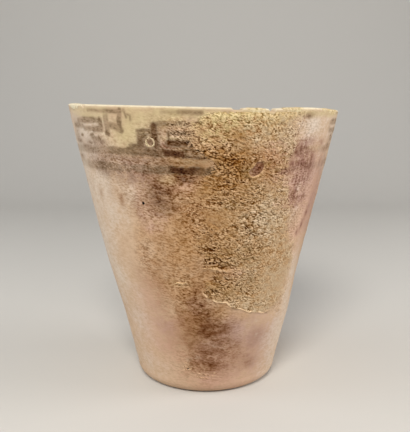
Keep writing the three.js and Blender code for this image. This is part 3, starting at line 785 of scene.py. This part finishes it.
def base_rows():
    under_radius = np.linspace(POLE_RADIUS, FLAT_RADIUS, UNDER_ROWS)
    under = np.stack([under_radius, 0 * under_radius], -1)
    turn = np.linspace(-np.pi / 2, 0, FOOT_ROWS)[1:]
    foot_radius = FLAT_RADIUS + FOOT_ROUNDING * np.cos(turn)
    foot = np.stack([foot_radius, FOOT_ROUNDING + FOOT_ROUNDING * np.sin(turn)], -1)
    above = np.array([[outer_radius(z), z] for z in (SIDE_ROW, BASE_THICKNESS)])
    top_radius = np.linspace(TOP_RADIUS, POLE_RADIUS, TOP_ROWS)
    top = np.stack([top_radius, BASE_THICKNESS + 0 * top_radius], -1)
    return np.concatenate([under, foot, above, top]), len(under), len(under) + len(foot) + len(above)


print("rows in the base:", len(base_rows()[0]))

# %% [markdown]
# The relief is small: scraper rings of a tenth of a millimetre below, and a finger spiral of a quarter
# above. One point in the middle of each face closes the disc, which the innermost ring can't do.

# %% The base
FLOOR_RADIUS = 21.5
SCRAPER_RATE = 2.4
SPIRAL_DEPTH = 0.25
SPIRAL_RATE = 0.9


def base_lift(flat, azimuth, radius):
    scraped = 0.05 * (1 + np.sin(radius * SCRAPER_RATE))
    scraped = scraped + 0.09 * (1 + lumps(flat, 4.0, 41)) * ease(FLAT_RADIUS - radius, 0, 3)
    spiral = SPIRAL_DEPTH * np.sin(radius * SPIRAL_RATE + np.radians(azimuth))
    spiral = spiral * ease(FLOOR_RADIUS - radius, 0, 3) * ease(radius, 0, 4)
    spiral = spiral + 0.08 * lumps(flat, 3.0, 42) * ease(FLOOR_RADIUS - 1 - radius, 0, 2)
    return scraped * ease(radius, 0, 2), spiral


def build_base():
    rows, under_end, side_end = base_rows()
    row, azimuth, radius, z = spun(rows)
    flat = around(azimuth, radius, z)
    under, inside = row < under_end, row >= side_end
    scraped, spiral = base_lift(flat, azimuth, radius)
    lift = np.where(under, scraped, 0) + np.where(inside, spiral, 0)
    points = np.stack([flat[..., 0], flat[..., 1], z + lift], -1).reshape(-1, 3)
    outside = np.where(~under & ~inside, 1.0, 0.35 * under)
    marks = {name: patch(azimuth, z, name) * outside for name in PATCHES}
    marks.update({"paint": 0 * z, "lip": 0 * z})
    soil_below = 0.25 + 0.2 * lumps(flat, 7.0, 43)
    marks["soil"] = np.where(inside, 0.75, np.where(under, soil_below, 0))
    marks = {name: np.append(values, [0.0, 0.5]) for name, values in per_point(marks).items()}
    points = np.concatenate([points, [[0, 0, 0], [0, 0, BASE_THICKNESS]]])
    faces = wrap_quads(len(rows), False)
    last = (len(rows) - 1) * COLUMNS
    for column in range(COLUMNS):
        beside = (column + 1) % COLUMNS
        faces.append((z.size, beside, column))
        faces.append((last + column, last + beside, z.size + 1))
    seam = np.append(np.arange(z.size) // COLUMNS == side_end - 1, [False, False])
    mesh_of("beaker_base", points, faces, marks, clay, "base_disc", seam)


build_base()

# %% [markdown]
# The lime is the hard part. It is a porous sheet of grains and pits about half a millimetre thick,
# torn at its lower edge and thinning to nothing on its other sides. Sculpting it by hand would never
# end, and a bump alone would look painted on, so it is a fine grid over the wall whose height comes from
# noise. Its underside lies in the clay where nobody can look, so the sheet has a top and sides only.

# %% A sheet cut from a grid
SEAT = -0.3
SCAB_SINK = -0.25


def slab(name, bottom, top, keep, marks, node):
    rows, columns = top.shape[:2]
    index = np.arange(rows * columns).reshape(rows, columns)
    here, beside = index[:-1, :-1], index[:-1, 1:]
    above, above_beside = index[1:, :-1], index[1:, 1:]
    lid = rows * columns
    faces = [np.stack([here, beside, above_beside, above], -1)[keep] + lid]
    padded = np.pad(keep, 1)
    sides = (
        (padded[:-2, 1:-1], here, beside), (padded[1:-1, 2:], beside, above_beside),
        (padded[2:, 1:-1], above_beside, above), (padded[1:-1, :-2], above, here),
    )
    for neighbour, start, end in sides:
        edge = keep & ~neighbour
        faces.append(np.stack([start, end, end + lid, start + lid], -1)[edge])
    faces = np.concatenate(faces)
    used, renumbered = np.unique(faces, return_inverse=True)
    points = np.concatenate([bottom.reshape(-1, 3), top.reshape(-1, 3)])[used]
    marks = {mark: np.tile(values.reshape(-1), 2)[used] for mark, values in marks.items()}
    mesh_of(name, points, renumbered.reshape(-1, 4).tolist(), marks, lime, node)


def kept_cells(height, least):
    corners = height[:-1, :-1] + height[1:, :-1] + height[:-1, 1:] + height[1:, 1:]
    return corners / 4 > least


def on_clay(azimuth, z, place, height):
    level = outer_radius(z) + clay_relief(place)
    return [hand_made(around(azimuth, level + lift, z)) for lift in (SEAT, height)]


# %% [markdown]
# The lime's colour goes from yellow cream at the lip, over ochre round the painted bands, to a grey
# beige on the lower right. Light catches its grains, and its pits are darkened to a deep brown with
# painted shade. Where the lime is thin the painted clay shows between the grains, so the lime's share is
# itself broken up by the grain.

# %% The lime's finish
LIME_BEIGE = seen(174, 138, 99)
# A light line along the lime's torn edge: partly paler lime, partly a painted highlight.
LIME_EDGE_AND_HIGHLIGHT = seen(255, 222, 182)
LIME_ZONES = {
    "yellow": seen(196, 174, 126), "grey": seen(178, 154, 124), "rosy": seen(174, 135, 108),
    "ochre": seen(134, 91, 44), "shade": seen(140, 110, 73),
}
LIME_SLOPE = math.radians(22)
GRIT_GAIN = 4.4
LIME_GRAIN = 0.46
LIME_BUMP = 0.34


def lime_finish():
    bench = Bench("lime")
    under, _, middling = ground(bench)
    grit = bench.cloud(0.8, 0.34, 3.0, 0.7, slope=LIME_SLOPE, shift=2.0)
    patchy = bench.cloud(4.0, 2.4, 3.0, 0.6, slope=LIME_SLOPE, shift=13.0)
    colour = LIME_BEIGE
    for name, over in LIME_ZONES.items():
        share = bench.worn(bench.mark(name), bench.step(middling, 0.3, 0.7), PATCH_SOFTNESS)
        colour = bench.blend(share, colour, over)
    swing = bench.times(bench.mark("grit"), bench.step(patchy, 0.38, 0.6, 0.55, 1.2))
    # The depth mark in the tone is painted shade, darkest in the pits and hollows.
    tone = bench.add(bench.mark("depth"), bench.scaled(bench.less(grit, 0.5), GRIT_GAIN))
    tone = bench.add(tone, bench.scaled(bench.less(middling, 0.5), 0.8))
    cover = bench.add(bench.mark("lime"), bench.scaled(bench.less(tone, 0.5), 0.5))
    colour = bench.blend(bench.step(cover, 0.25, 0.75), under, colour)
    colour = bench.grained(colour, tone, -0.14, 0.86, bench.scaled(swing, LIME_GRAIN))
    # Painted highlight, with paler lime, on the torn edge and round the window.
    colour = bench.blend(bench.mark("edge"), colour, LIME_EDGE_AND_HIGHLIGHT)
    # The lip's pale colour, partly a painted highlight.
    colour = bench.blend(bench.mark("lip"), colour, LIP_PALE_AND_HIGHLIGHT)
    height = bench.scaled(grit, bench.step(swing, 0.0, 1.0, 0.3, 1.0))
    return bench.finish(colour, 0.94, height, LIME_BUMP, 0.02)


lime = lime_finish()
print("lime finish:", len(lime.node_tree.nodes), "nodes")

# %% [markdown]
# The sheet's outline says where lime can be, and its edge wanders with the noise. How quickly the sheet
# thins towards that edge differs: it is torn off sharply below, fades over several millimetres on the
# right, and turns into mere roughness on the left.

# %% Where the lime is
SHEET_OUTLINE = [
    (3, 112), (46, 112), (45.5, 104), (44.5, 101), (43.5, 97), (41, 93), (39.5, 90), (39, 87), (42, 85),
    (44, 81.5), (44, 78), (47, 74), (50, 70), (51, 64), (59, 58), (66, 51), (67, 43), (63, 36),
    (54, 31.5), (42, 32), (30, 34.5), (18, 36.6), (9, 40), (1, 42), (-2.5, 44.8), (0, 48), (1, 51),
    (-2, 53.4), (-3, 57.5), (-10, 60), (-15, 66), (-15, 74), (-12, 82), (-5, 85), (0.5, 87), (1.5, 89),
    (-2, 91), (-2.5, 93), (-8, 95.6), (-14, 97), (-14.5, 102.5), (-12, 106), (-3, 106.5), (1, 107.5),
]
FADES = [
    (-12, 72, 10, 14, 13), (-14, 100, 8, 6, 6.5), (42, 92, 8, 24, 9), (60, 47, 10, 13, 10),
    (1, 92, 6, 6, 4.6), (50, 68, 8, 10, 7),
]
THIN_PLACES = [
    (-9, 100, 8, 7, 0.9), (-9, 72, 12, 14, 0.9), (3, 66, 8, 10, 0.5), (-3, 90, 6, 4, 0.8),
    (47, 92, 6, 10, 0.9), (35, 87.7, 3.8, 1.5, 0.85), (63, 43, 10, 16, 0.8), (46, 33, 6, 4, 0.6),
    (44, 104, 10, 6, 0.95), (53, 68, 9, 10, 0.8),
]
PLAIN_FADE = 2.4
TORN_FADE = 0.5
GRID = 0.21


def inside_distance(x, z, outline):
    corners = np.array(outline)
    corner_x = unrolled(corners[:, 0], corners[:, 1])
    corner_z = corners[:, 1]
    nearest = np.full(x.shape, 1e9)
    within = np.zeros(x.shape, bool)
    for i in range(len(corners)):
        x0, z0 = corner_x[i - 1], corner_z[i - 1]
        x1, z1 = corner_x[i], corner_z[i]
        length = (x1 - x0) ** 2 + (z1 - z0) ** 2
        t = np.clip(((x - x0) * (x1 - x0) + (z - z0) * (z1 - z0)) / length, 0, 1)
        nearest = np.minimum(nearest, np.hypot(x - x0 - t * (x1 - x0), z - z0 - t * (z1 - z0)))
        crosses = (z0 > z) != (z1 > z)
        at = x0 + (z - z0) * (x1 - x0) / (z1 - z0 if z1 != z0 else 1e-9)
        within ^= crosses & (x < at)
    return np.where(within, nearest, -nearest)


def wall_grid(a0, a1, z0, z1, cell):
    rows = int((z1 - z0) / cell) + 2
    columns = int(np.radians(a1 - a0) * outer_radius((z0 + z1) / 2) / cell) + 2
    z, azimuth = np.meshgrid(np.linspace(z0, z1, rows), np.linspace(a0, a1, columns), indexing="ij")
    return azimuth, z


def spots(azimuth, z, places):
    left = np.zeros(azimuth.shape)
    for *place, strength in places:
        left = np.maximum(left, strength * spot(azimuth, z, *place))
    return left


# %% [markdown]
# The grain runs down to the right, as drips do, and so do the pits. It is coarse and deep round the
# painted bands and on the lower left, calm in the middle and on the lower right.

# %% Where the lime is rough, calm, ridged or hollow
ROUGH_PLACES = [
    (2, 96, 6, 4, 1), (10, 91, 7, 6, 1), (10, 85, 5, 4, 0.9), (12, 78.5, 5, 3, 0.8), (3, 59, 6, 4, 1.1),
    (12, 58, 7, 5, 0.7), (6, 46, 5, 5, 0.7), (20, 66, 6, 6, 0.5), (-8, 99, 5, 4, 0.4),
    (20, 46, 7, 7, 0.45), (26, 72, 6, 6, 0.3), (20, 82, 5, 4, 0.4), (5, 66, 6, 4, 0.4),
]
CALM_PLACES = [
    (6, 73, 6, 3, 0.65), (50, 45, 14, 12, 0.75), (42, 60, 7, 8, 0.3), (20, 96.5, 4, 3, 0.15),
    (47, 92, 5, 20, 0.7), (51, 66, 6, 12, 0.7), (35, 106.5, 7, 1.8, 0.5), (-3, 80.5, 3, 3, 0.5),
    (-12, 66, 6, 10, 0.55),
]
RIDGES = [
    ((-8, -4, -1, 1), (60.4, 59, 58, 56.6), 0.32),
    ((-3.5, 0, 4, 9, 15), (54.7, 54, 53.9, 53.5, 53), 0.45), ((1, 5, 9), (77.4, 76.8, 76.4), 0.2),
    ((10, 13, 17), (67.4, 65.4, 62.8), 0.14), ((1.5, 4, 7), (49.2, 48.2, 46.8), 0.25),
    ((16, 18, 20.5), (71.2, 71.9, 71), 0.22), ((-2, 1, 4), (44.2, 43, 41.4), 0.3),
]
HOLLOWS = [
    (2.5, 61, 2.2, 0.7, 0.35), (6, 55.3, 2.2, 0.7, 0.4), (1, 56.8, 1.6, 0.5, 0.2),
    (12.5, 78.3, 2.4, 0.6, 0.2), (9.5, 80.6, 1.6, 0.5, 0.2), (14, 69, 1.2, 0.5, 0.35),
    (20, 69, 1.3, 1.1, 0.3), (23.5, 66.6, 2, 0.7, 0.25), (4.5, 49.6, 1.8, 0.6, 0.3),
    (15, 48.6, 1.6, 0.6, 0.1), (4, 44.6, 1.5, 0.6, 0.2), (22, 77.2, 1.3, 0.4, 0.3),
    (29.6, 104, 0.9, 0.5, 0.3), (20.6, 104, 0.9, 0.3, 0.25), (6.5, 83.6, 0.8, 0.6, 0.3),
    (12, 91.6, 2.2, 1.4, 0.2), (26, 72.6, 1.2, 0.7, 0.2), (32.6, 60.6, 0.7, 0.4, 0.3),
    (3, 93.4, 1.6, 0.5, 0.25), (33, 94.2, 1.2, 0.5, 0.2), (19, 88.6, 2, 1.3, 0.12),
    (5, 91, 2.2, 1, 0.12), (19, 91.4, 2, 1, 0.1), (-2, 91, 2, 1, 0.08),
]

# %% [markdown]
# The lime has its own soft patches of colour, read from the photo like those of the clay.

# %% Zones of colour
ZONES = {}
ZONES["rosy"] = [
    (27, 91.5, 6, 5, 0.9), (33, 87, 6, 4, 0.8), (38, 76, 4, 3, 0.3), (12, 51, 5, 2.4, 0.5),
    (5, 50.6, 4, 1.6, 0.8),
]
ZONES["shade"] = [
    (22, 59, 6, 4, 0.55), (4.6, 49.8, 3, 1.6, 0.3), (24, 46, 5, 4, 0.35), (22, 68, 3, 2, 0.2),
    (14, 59, 5, 3, 0.3), (18.2, 88.2, 2.2, 2.6, 0.9), (5, 91, 3, 1.4, 0.5), (33, 88.4, 3.4, 1.2, 0.6),
    (26, 91, 2, 1.2, 0.3), (3, 60, 4, 3, 0.4), (6, 55.4, 3, 1.4, 0.5), (16, 78, 4, 2, 0.3),
    (10, 44, 6, 3, 0.3),
]
ZONES["yellow"] = [
    (8, 107.5, 18, 4.4, 1), (30, 107, 14, 4, 1), (4, 102, 7, 3, 0.5), (28, 101, 8, 4, 0.35),
]
ZONES["ochre"] = [
    (19, 88, 4, 4, 0.5), (22, 82, 4, 4, 0.25), (12, 100, 3, 2, 0.3), (10, 91.5, 7, 4, 1),
    (16, 88.6, 6, 4, 0.9), (3, 94, 6, 2.6, 0.45), (10, 85, 8, 4, 0.6), (25, 90, 5, 4, 0.35),
    (3, 59, 6, 4, 0.6), (6, 48, 6, 5, 0.35), (12, 78, 6, 3, 0.3), (0, 67, 9, 6, 0.3),
]
ZONES["grey"] = [
    (34, 72, 12, 14, 1), (12, 49.8, 3.5, 2.2, 1), (19, 73, 3, 2, 0.8), (12, 76.8, 4, 2, 0.8),
    (12, 97, 3, 1.6, 0.6), (50, 45, 22, 12, 1), (36, 36, 16, 8, 1), (26, 50, 8, 12, 0.7),
    (56, 58, 10, 10, 1), (36, 99, 10, 10, 1), (38, 84, 8, 8, 1), (25, 82, 6, 6, 0.7),
    (24, 100, 8, 5, 0.5),
]

# %% [markdown]
# Two sizes of lumps, stretched along the slope, make the grains. Where both are low at once there is a
# pit. The ridges are the steps where one layer of lime ends on another: a crest with a trough above it.

# %% Grains, pits and ridges
FINE_SIZE, FINE_STRETCH = 0.46, 2.0
COARSE_SIZE, COARSE_STRETCH = 0.9, 1.6
SWELL_SIZE = 2.6


def lime_texture(x, z):
    flat = np.stack([x, z, 0 * x], -1)
    along = np.cos(LIME_SLOPE) * x - np.sin(LIME_SLOPE) * z + 0.5 * lumps(flat, 1.7, 50)
    across = np.sin(LIME_SLOPE) * x + np.cos(LIME_SLOPE) * z + 0.35 * lumps(flat, 1.3, 54)
    fine = lumps(np.stack([along / FINE_STRETCH, across, 0 * x], -1), FINE_SIZE, 51)
    coarse = lumps(np.stack([along / COARSE_STRETCH, across, 0 * x + 5], -1), COARSE_SIZE, 52)
    swell = lumps(flat, SWELL_SIZE, 53)
    relief = 0.6 * fine + 0.5 * coarse + 0.25 * swell
    hole = ease(-0.8 * fine - 0.45 * coarse - 0.1 * swell, 0.12, 0.5)
    return relief, hole


def smoothed(values, times):
    for _ in range(times):
        wide = np.pad(values, 1, mode="edge")
        beside = wide[:-2, 1:-1] + wide[2:, 1:-1] + wide[1:-1, :-2] + wide[1:-1, 2:]
        values = (beside + 4 * values) / 8
    return values


def ridged(azimuth, z):
    height = 0 * z
    wave = 0.35 * lumps(np.stack([unrolled(azimuth, z), z, height], -1), 1.6, 55)
    for at, line, rise in RIDGES:
        above = z - np.interp(azimuth, at, line) + wave
        here = ease(azimuth, at[0] - 1, at[0] + 1) * (1 - ease(azimuth, at[-1] - 2, at[-1] + 1))
        crest = np.exp(-(((above + 0.5) / 0.6) ** 2))
        trough = np.exp(-(((above - 0.7) / 0.8) ** 2))
        height = height + rise * here * (crest - trough)
    return height


# %% [markdown]
# Three things shape the sheet's edge. It is ragged all round, less so where it is torn. A window shows
# the oval of bare clay in the ochre part. The cover, from 0 at the edge to 1, says how thick the lime is.

# %% The edge of the sheet
TORN_BELOW, TORN_TILT, TORN_SOFT = 44, -0.15, 3
TORN_ENDS = (32, 46)
WINDOWS = [(21.8, 89.1, 2.3, 1.9, 0.4)]
FAR = 99


def window_edges(azimuth, z, place):
    window_highlight, nearest = 0 * z, FAR + 0 * z
    for a, height, half_width, half_height, slope in WINDOWS:
        off_x = unrolled(azimuth - a, z)
        off_z = z - height - slope * off_x
        stretched = np.maximum(np.hypot(off_x / half_width, off_z / half_height), 0.05)
        away = np.hypot(off_x, off_z) * (1 - 1 / stretched)
        away = away + 0.55 * lumps(place, 1.5, 74)
        nearest = np.minimum(nearest, away)
        # A painted highlight round the rim of the window.
        window_highlight = np.maximum(window_highlight, ease(away, -0.1, 0.2) * (1 - ease(away, 0.3, 0.7)))
    return window_highlight, nearest


def sheet_edge(azimuth, z, place):
    torn = ease(TORN_BELOW - z + azimuth * TORN_TILT, -TORN_SOFT, TORN_SOFT)
    torn = torn * (1 - ease(azimuth, *TORN_ENDS))
    inside = inside_distance(unrolled(azimuth, z), z, SHEET_OUTLINE)
    ragged = 1.8 * lumps(place, 4.0, 71) + 1.0 * lumps(place, 1.6, 72)
    inside = inside + ragged * (1 - 0.6 * torn)
    window_highlight, hole_edge = window_edges(azimuth, z, place)
    fade = PLAIN_FADE + spots(azimuth, z, [(*item[:4], item[4] - PLAIN_FADE) for item in FADES])
    cover = ease(inside, 0, fade * (1 - torn) + TORN_FADE * torn) * ease(hole_edge, 0, 0.5)
    return np.minimum(inside, hole_edge), cover, torn, window_highlight


# %% [markdown]
# Every point of the grid then gets a height: a thin skin, the body of the lime, its grains and pits, and
# the carved ridges and hollows. Outside the outline the points sink into the clay and their cells are
# dropped. The depth mark is painted shade: it darkens the hollows between the grains and the troughs
# above the ridges, which light alone would leave too pale.

# %% The lime sheet
SHEET_SPAN = (-22, 70, 28, LIP_CENTRE)
GRIT_BASE, GRIT_TOP = 0.58, 1.1
SKIN, BODY = 0.06, 0.46
GRAIN_RISE, PIT_DEPTH = 0.24, 0.26
EDGE_ROUNDING = 0.25
EDGE_KEPT = -0.1
SUNK = -0.4
WINDOW_HIGHLIGHT_SHARE = 0.3
SMOOTHING = 20
CAVITY_SHADE_GAIN = 1.5
CARVED_SHADE_GAIN = 1.3


def build_sheet():
    azimuth, pot_z = wall_grid(*SHEET_SPAN, GRID)
    place = around(azimuth, outer_radius(pot_z), pot_z)
    z = seen_height(azimuth, pot_z)
    inside, cover, torn, window_highlight = sheet_edge(azimuth, z, place)
    grit = GRIT_BASE + spots(azimuth, z, ROUGH_PLACES) * (GRIT_TOP - GRIT_BASE)
    grit = grit * (1 - spots(azimuth, z, CALM_PLACES))
    relief, hole = lime_texture(unrolled(azimuth, z), z)
    swing = ease(cover, 0, 0.7) * grit
    below_lip = ease(LIP_CENTRE - pot_z, 0, 1.5)
    carved = (ridged(azimuth, z) - spots(azimuth, z, HOLLOWS)) * ease(cover, 0, 0.5)
    rise = SKIN + BODY * cover * below_lip + swing * (GRAIN_RISE * relief - PIT_DEPTH * hole) + carved
    rounding = ease(inside, 0, EDGE_ROUNDING)
    height = np.where(inside < 0, SUNK, rise) * rounding + SEAT * (1 - rounding)
    kept = inside > EDGE_KEPT
    marks = clay_marks(azimuth, pot_z, place)
    marks.update({name: spots(azimuth, z, places) for name, places in ZONES.items()})
    marks["lime"] = cover * (1 - spots(azimuth, z, THIN_PLACES))
    marks["grit"] = swing
    # Painted shade: the cavity and the carved troughs darken the depth mark.
    cavity_shade = rise - smoothed(rise, SMOOTHING)
    marks["depth"] = np.clip(0.5 + CAVITY_SHADE_GAIN * cavity_shade + CARVED_SHADE_GAIN * carved, -0.5, 1)
    # Edge mark: paler lime and a painted highlight on the torn scarp, a painted highlight round the
    # window.
    scarp_and_highlight = torn * ease(lumps(place, 2.2, 75), -0.6, 0.1)
    line = rounding * (1 - ease(inside, 0.6, 1.05))
    marks["edge"] = line * scarp_and_highlight + WINDOW_HIGHLIGHT_SHARE * window_highlight
    bottom, top = on_clay(azimuth, pot_z, place, height)
    slab("lime_sheet", bottom, top, kept[:-1, :-1] & kept[1:, 1:], marks, "crust_sheet")


build_sheet()

# %% [markdown]
# Smaller scabs sit round the sheet: a thin flake, flaky scale above the foot, and a little ring, all
# made on the same kind of grid. Each has its own shape function, a distance that is positive inside.

# %% How a small scab is made
SCAB_GRID = 0.2
SCAB_EDGE = -0.15


def small_scab(name, node, span, inside_of, thickness, share, pale, white):
    azimuth, z = wall_grid(*span, SCAB_GRID)
    place = around(azimuth, outer_radius(z), z)
    height = seen_height(azimuth, z)
    x = unrolled(azimuth, height)
    inside = inside_of(azimuth, height, x) + 0.3 * lumps(place, 1.2, 91) + 0.15 * lumps(place, 0.5, 92)
    relief, _ = lime_texture(x, z)
    rise = (thickness - SCAB_EDGE) * ease(inside, 0, 0.7) + SCAB_EDGE
    rise = rise + 0.08 * relief * ease(inside, 0, 0.8)
    marks = clay_marks(azimuth, z, place)
    marks.update({"yellow": 0.3 + 0 * z, "lime": share * ease(inside, 0.0, 0.4), "grit": 0.5 + 0 * z})
    # The depth mark is painted shade that follows the scab's relief.
    marks["depth"] = np.clip(0.5 + 0.3 * relief, 0, 1)
    marks["lip"] = white * ease(inside, -0.1, 0.3)
    # The scab's light rim: paler lime and a painted highlight on its ledges.
    marks["edge"] = pale * ease(inside, 0.0, 0.3)
    bottom, top = on_clay(azimuth, z, place, np.maximum(rise, SCAB_SINK))
    slab(name, bottom, top, kept_cells(rise, SCAB_EDGE / 2), marks, node)


# %% [markdown]
# A shape function measures from a line or a circle. The scale's ridges come from a remainder, which
# starts again every millimetre and a half and so draws one ridge after another.

# %% Flake, scale and ring
def flake_shape(azimuth, z, x):
    ridge = 47.6 + 0.12 * unrolled(azimuth + 12, z) + 0.25 * np.sin(x * 1.9)
    return 0.55 - np.abs(z - ridge) - np.clip(np.abs(unrolled(azimuth + 12, z)) - 1.7, 0, 9)


def left_scale_shape(azimuth, z, x):
    ridges = np.abs(((z - 0.5 * x * 0.5) % 1.6) - 0.8) - 0.35
    around_it = 1 - np.hypot(unrolled(azimuth + 14, z) / 2.6, (z - 12) / 2.4)
    return np.minimum(around_it * 1.6, ridges * 1.5)


def right_scale_shape(azimuth, z, x):
    ridges = np.abs(((z + 0.18 * x) % 1.5) - 0.75) - 0.32
    around_it = 1 - np.hypot(unrolled(azimuth - 0.5, z) / 5.4, (z - 8.6) / 1.7)
    return np.minimum(around_it * 1.8, ridges * 1.5)


def ring_shape(azimuth, z, x):
    away = np.hypot(unrolled(azimuth + 20.2, z) / 1.55, (z - 98.2) / 1.5)
    return 0.55 - np.abs(away - 0.95) * 1.5


SCABS = [
    ("lime_flake", "crust_flake", (-18, -7, 45.5, 50), flake_shape, 0.4, 1.0, 0.45, 0),
    ("lime_scale_left", "crust_foot_scale_left", (-22, -6, 8, 16), left_scale_shape, 0.25, 0.3, 0.15, 0),
    ("lime_scale_right", "crust_foot_scale_right", (-13, 14, 6.7, 11), right_scale_shape, 0.25, 0.3,
     0.15, 0),
    ("lime_ring", "crust_ring", (-24, -16.5, 95.5, 101), ring_shape, 0.35, 0.9, 0, 0.55),
]
for scab in SCABS:
    small_scab(*scab)

# %% [markdown]
# On the lip the lime wraps round the edge. The grid here runs along the lip one way and round its
# rounding the other way, and it thins out to nothing at both ends.

# %% Lime on the lip
LIP_SCABS = {
    "left": (-72, -57, "crust_lip_left", 0.95),
    "middle": (15, 23, "crust_lip_middle", 0.4),
    "right": (28.5, 41, "crust_lip_right", 0.45),
    "far_right": (50, 72, "crust_lip_far_right", 0.3),
}
LIP_SCAB_START, LIP_SCAB_END = -0.3, 2.3
LIP_SCAB_ROWS = 30
LIP_SCAB_EDGE = -0.05


def lip_scab(name, a0, a1, node, pale):
    columns = int(np.radians(a1 - a0) * RIM_RADIUS / SCAB_GRID)
    angle, azimuth = np.meshgrid(
        np.linspace(LIP_SCAB_START, LIP_SCAB_END, LIP_SCAB_ROWS), np.linspace(a0, a1, columns),
        indexing="ij")
    along = np.sin(np.pi * (azimuth - a0) / (a1 - a0))
    across = np.sin(np.pi * (angle - LIP_SCAB_START) / (LIP_SCAB_END - LIP_SCAB_START))

    def shell(offset):
        return around(azimuth, *lip_point(angle, offset))

    place = shell(0)
    thin = np.sqrt(np.clip(along * across, 0, 1)) + 0.22 * lumps(place, 2.2, 95)
    rough = lumps(place, 1.0, 96) + 0.6 * lumps(place, 0.5, 97)
    rise = 0.2 * ease(thin, 0.2, 0.8) + 0.08 * rough * ease(thin, 0.2, 0.5) + LIP_SCAB_EDGE
    marks = {"yellow": 0.9 + 0 * angle, "lime": 1 + 0 * angle, "grit": 0.4 + 0 * angle}
    # The depth mark is painted shade that follows the lime's roughness.
    marks["depth"] = np.clip(0.55 + 0.3 * rough, 0, 1)
    # The lip mark gives the lime on the lip a pale colour that is partly a painted highlight.
    marks["lip"] = np.clip(pale + 0.2 * rough, 0, 1)
    bottom, top = hand_made(shell(SEAT)), hand_made(shell(np.maximum(rise, SCAB_SINK)))
    slab("lime_lip_" + name, bottom, top, kept_cells(rise, LIP_SCAB_EDGE / 2), marks, node)


for name, details in LIP_SCABS.items():
    lip_scab(name, *details)

# %% [markdown]
# The room is plain. A pale sheet runs forward under the beaker and rises softly behind it, so there is
# no corner to see.

# %% The floor
FLOOR = seen(206, 203, 197)
FLOOR_FRONT, FLOOR_SIDE = -1.6, 2.0
SWEEP_START, SWEEP_RADIUS, SWEEP_TOP = 0.42, 0.35, 1.8


def build_floor():
    bench = Bench("paper")
    turn = np.linspace(0, np.pi / 2, 24)
    bend = SWEEP_START + SWEEP_RADIUS * np.sin(turn)
    run = np.concatenate([[FLOOR_FRONT], bend, [SWEEP_START + SWEEP_RADIUS]])
    rise = np.concatenate([[0.0], SWEEP_RADIUS * (1 - np.cos(turn)), [SWEEP_TOP]])
    points = [(side, y, z) for y, z in zip(run, rise) for side in (-FLOOR_SIDE, FLOOR_SIDE)]
    faces = [(2 * i, 2 * i + 1, 2 * i + 3, 2 * i + 2) for i in range(len(run) - 1)]
    mesh = bpy.data.meshes.new("floor")
    mesh.from_pydata(points, [], faces)
    mesh.shade_smooth()
    mesh.materials.append(bench.finish(FLOOR, 0.9, bench.cloud(2.0, 2.0), 0.02))
    in_scene("floor", mesh)
    print("floor:", len(faces), "faces")


build_floor()

# %% [markdown]
# The light is a wide soft lamp above and in front, which puts a small shadow at the top of each pit in
# the lime, with two weaker lamps at the sides that draw the light edges of the beaker.

# %% The lamps
AIM = Vector((0, 0, 0.06))
LAMPS = [
    ("key", (-0.08, -0.58, 0.6), 0.3, 4.9, (1.0, 0.97, 0.92)),
    ("left", (-0.62, -0.06, 0.24), 0.4, 1.6, (0.94, 0.97, 1.0)),
    ("right", (0.62, -0.04, 0.22), 0.4, 2.6, (1.0, 0.98, 0.97)),
]
SKY = (0.62, 0.63, 0.66, 1)
SKY_STRENGTH = 0.45

for name, place, size, power, colour in LAMPS:
    data = bpy.data.lights.new(name, "AREA")
    data.shape = "DISK"
    data.size = size
    data.energy = power
    data.color = colour
    lamp = in_scene(name, data)
    lamp.location = place
    lamp.rotation_euler = (AIM - Vector(place)).to_track_quat("-Z", "Y").to_euler()

bpy.context.scene.view_settings.view_transform = "Standard"
world = bpy.data.worlds.new("studio")
bpy.context.scene.world = world
world.use_nodes = True
background = world.node_tree.nodes["Background"]
background.inputs[0].default_value = SKY
background.inputs[1].default_value = SKY_STRENGTH
print("lamps:", len(LAMPS))

# %% [markdown]
# The camera stands a quarter of a metre away with its eye at the height of the rim, and looks down
# ten degrees. That is why the rim is a straight line and the foot a curve. The focal length in pixels
# comes from how strongly the foot curves.

# %% The camera
EYE = (-0.0004, -0.2515, 0.1094)
PITCH = 10.02
FOCAL_PIXELS = 620
PICTURE_HEIGHT = 432
SENSOR = 36.0

camera_data = bpy.data.cameras.new("camera")
camera_data.sensor_width = SENSOR
camera_data.lens = SENSOR * FOCAL_PIXELS / PICTURE_HEIGHT
camera_data.clip_start = 0.01
camera = in_scene("camera", camera_data)
camera.location = EYE
camera.rotation_euler = (math.radians(90 - PITCH), 0, 0)
bpy.context.scene.camera = camera
print("lens", round(camera_data.lens, 2), "mm")
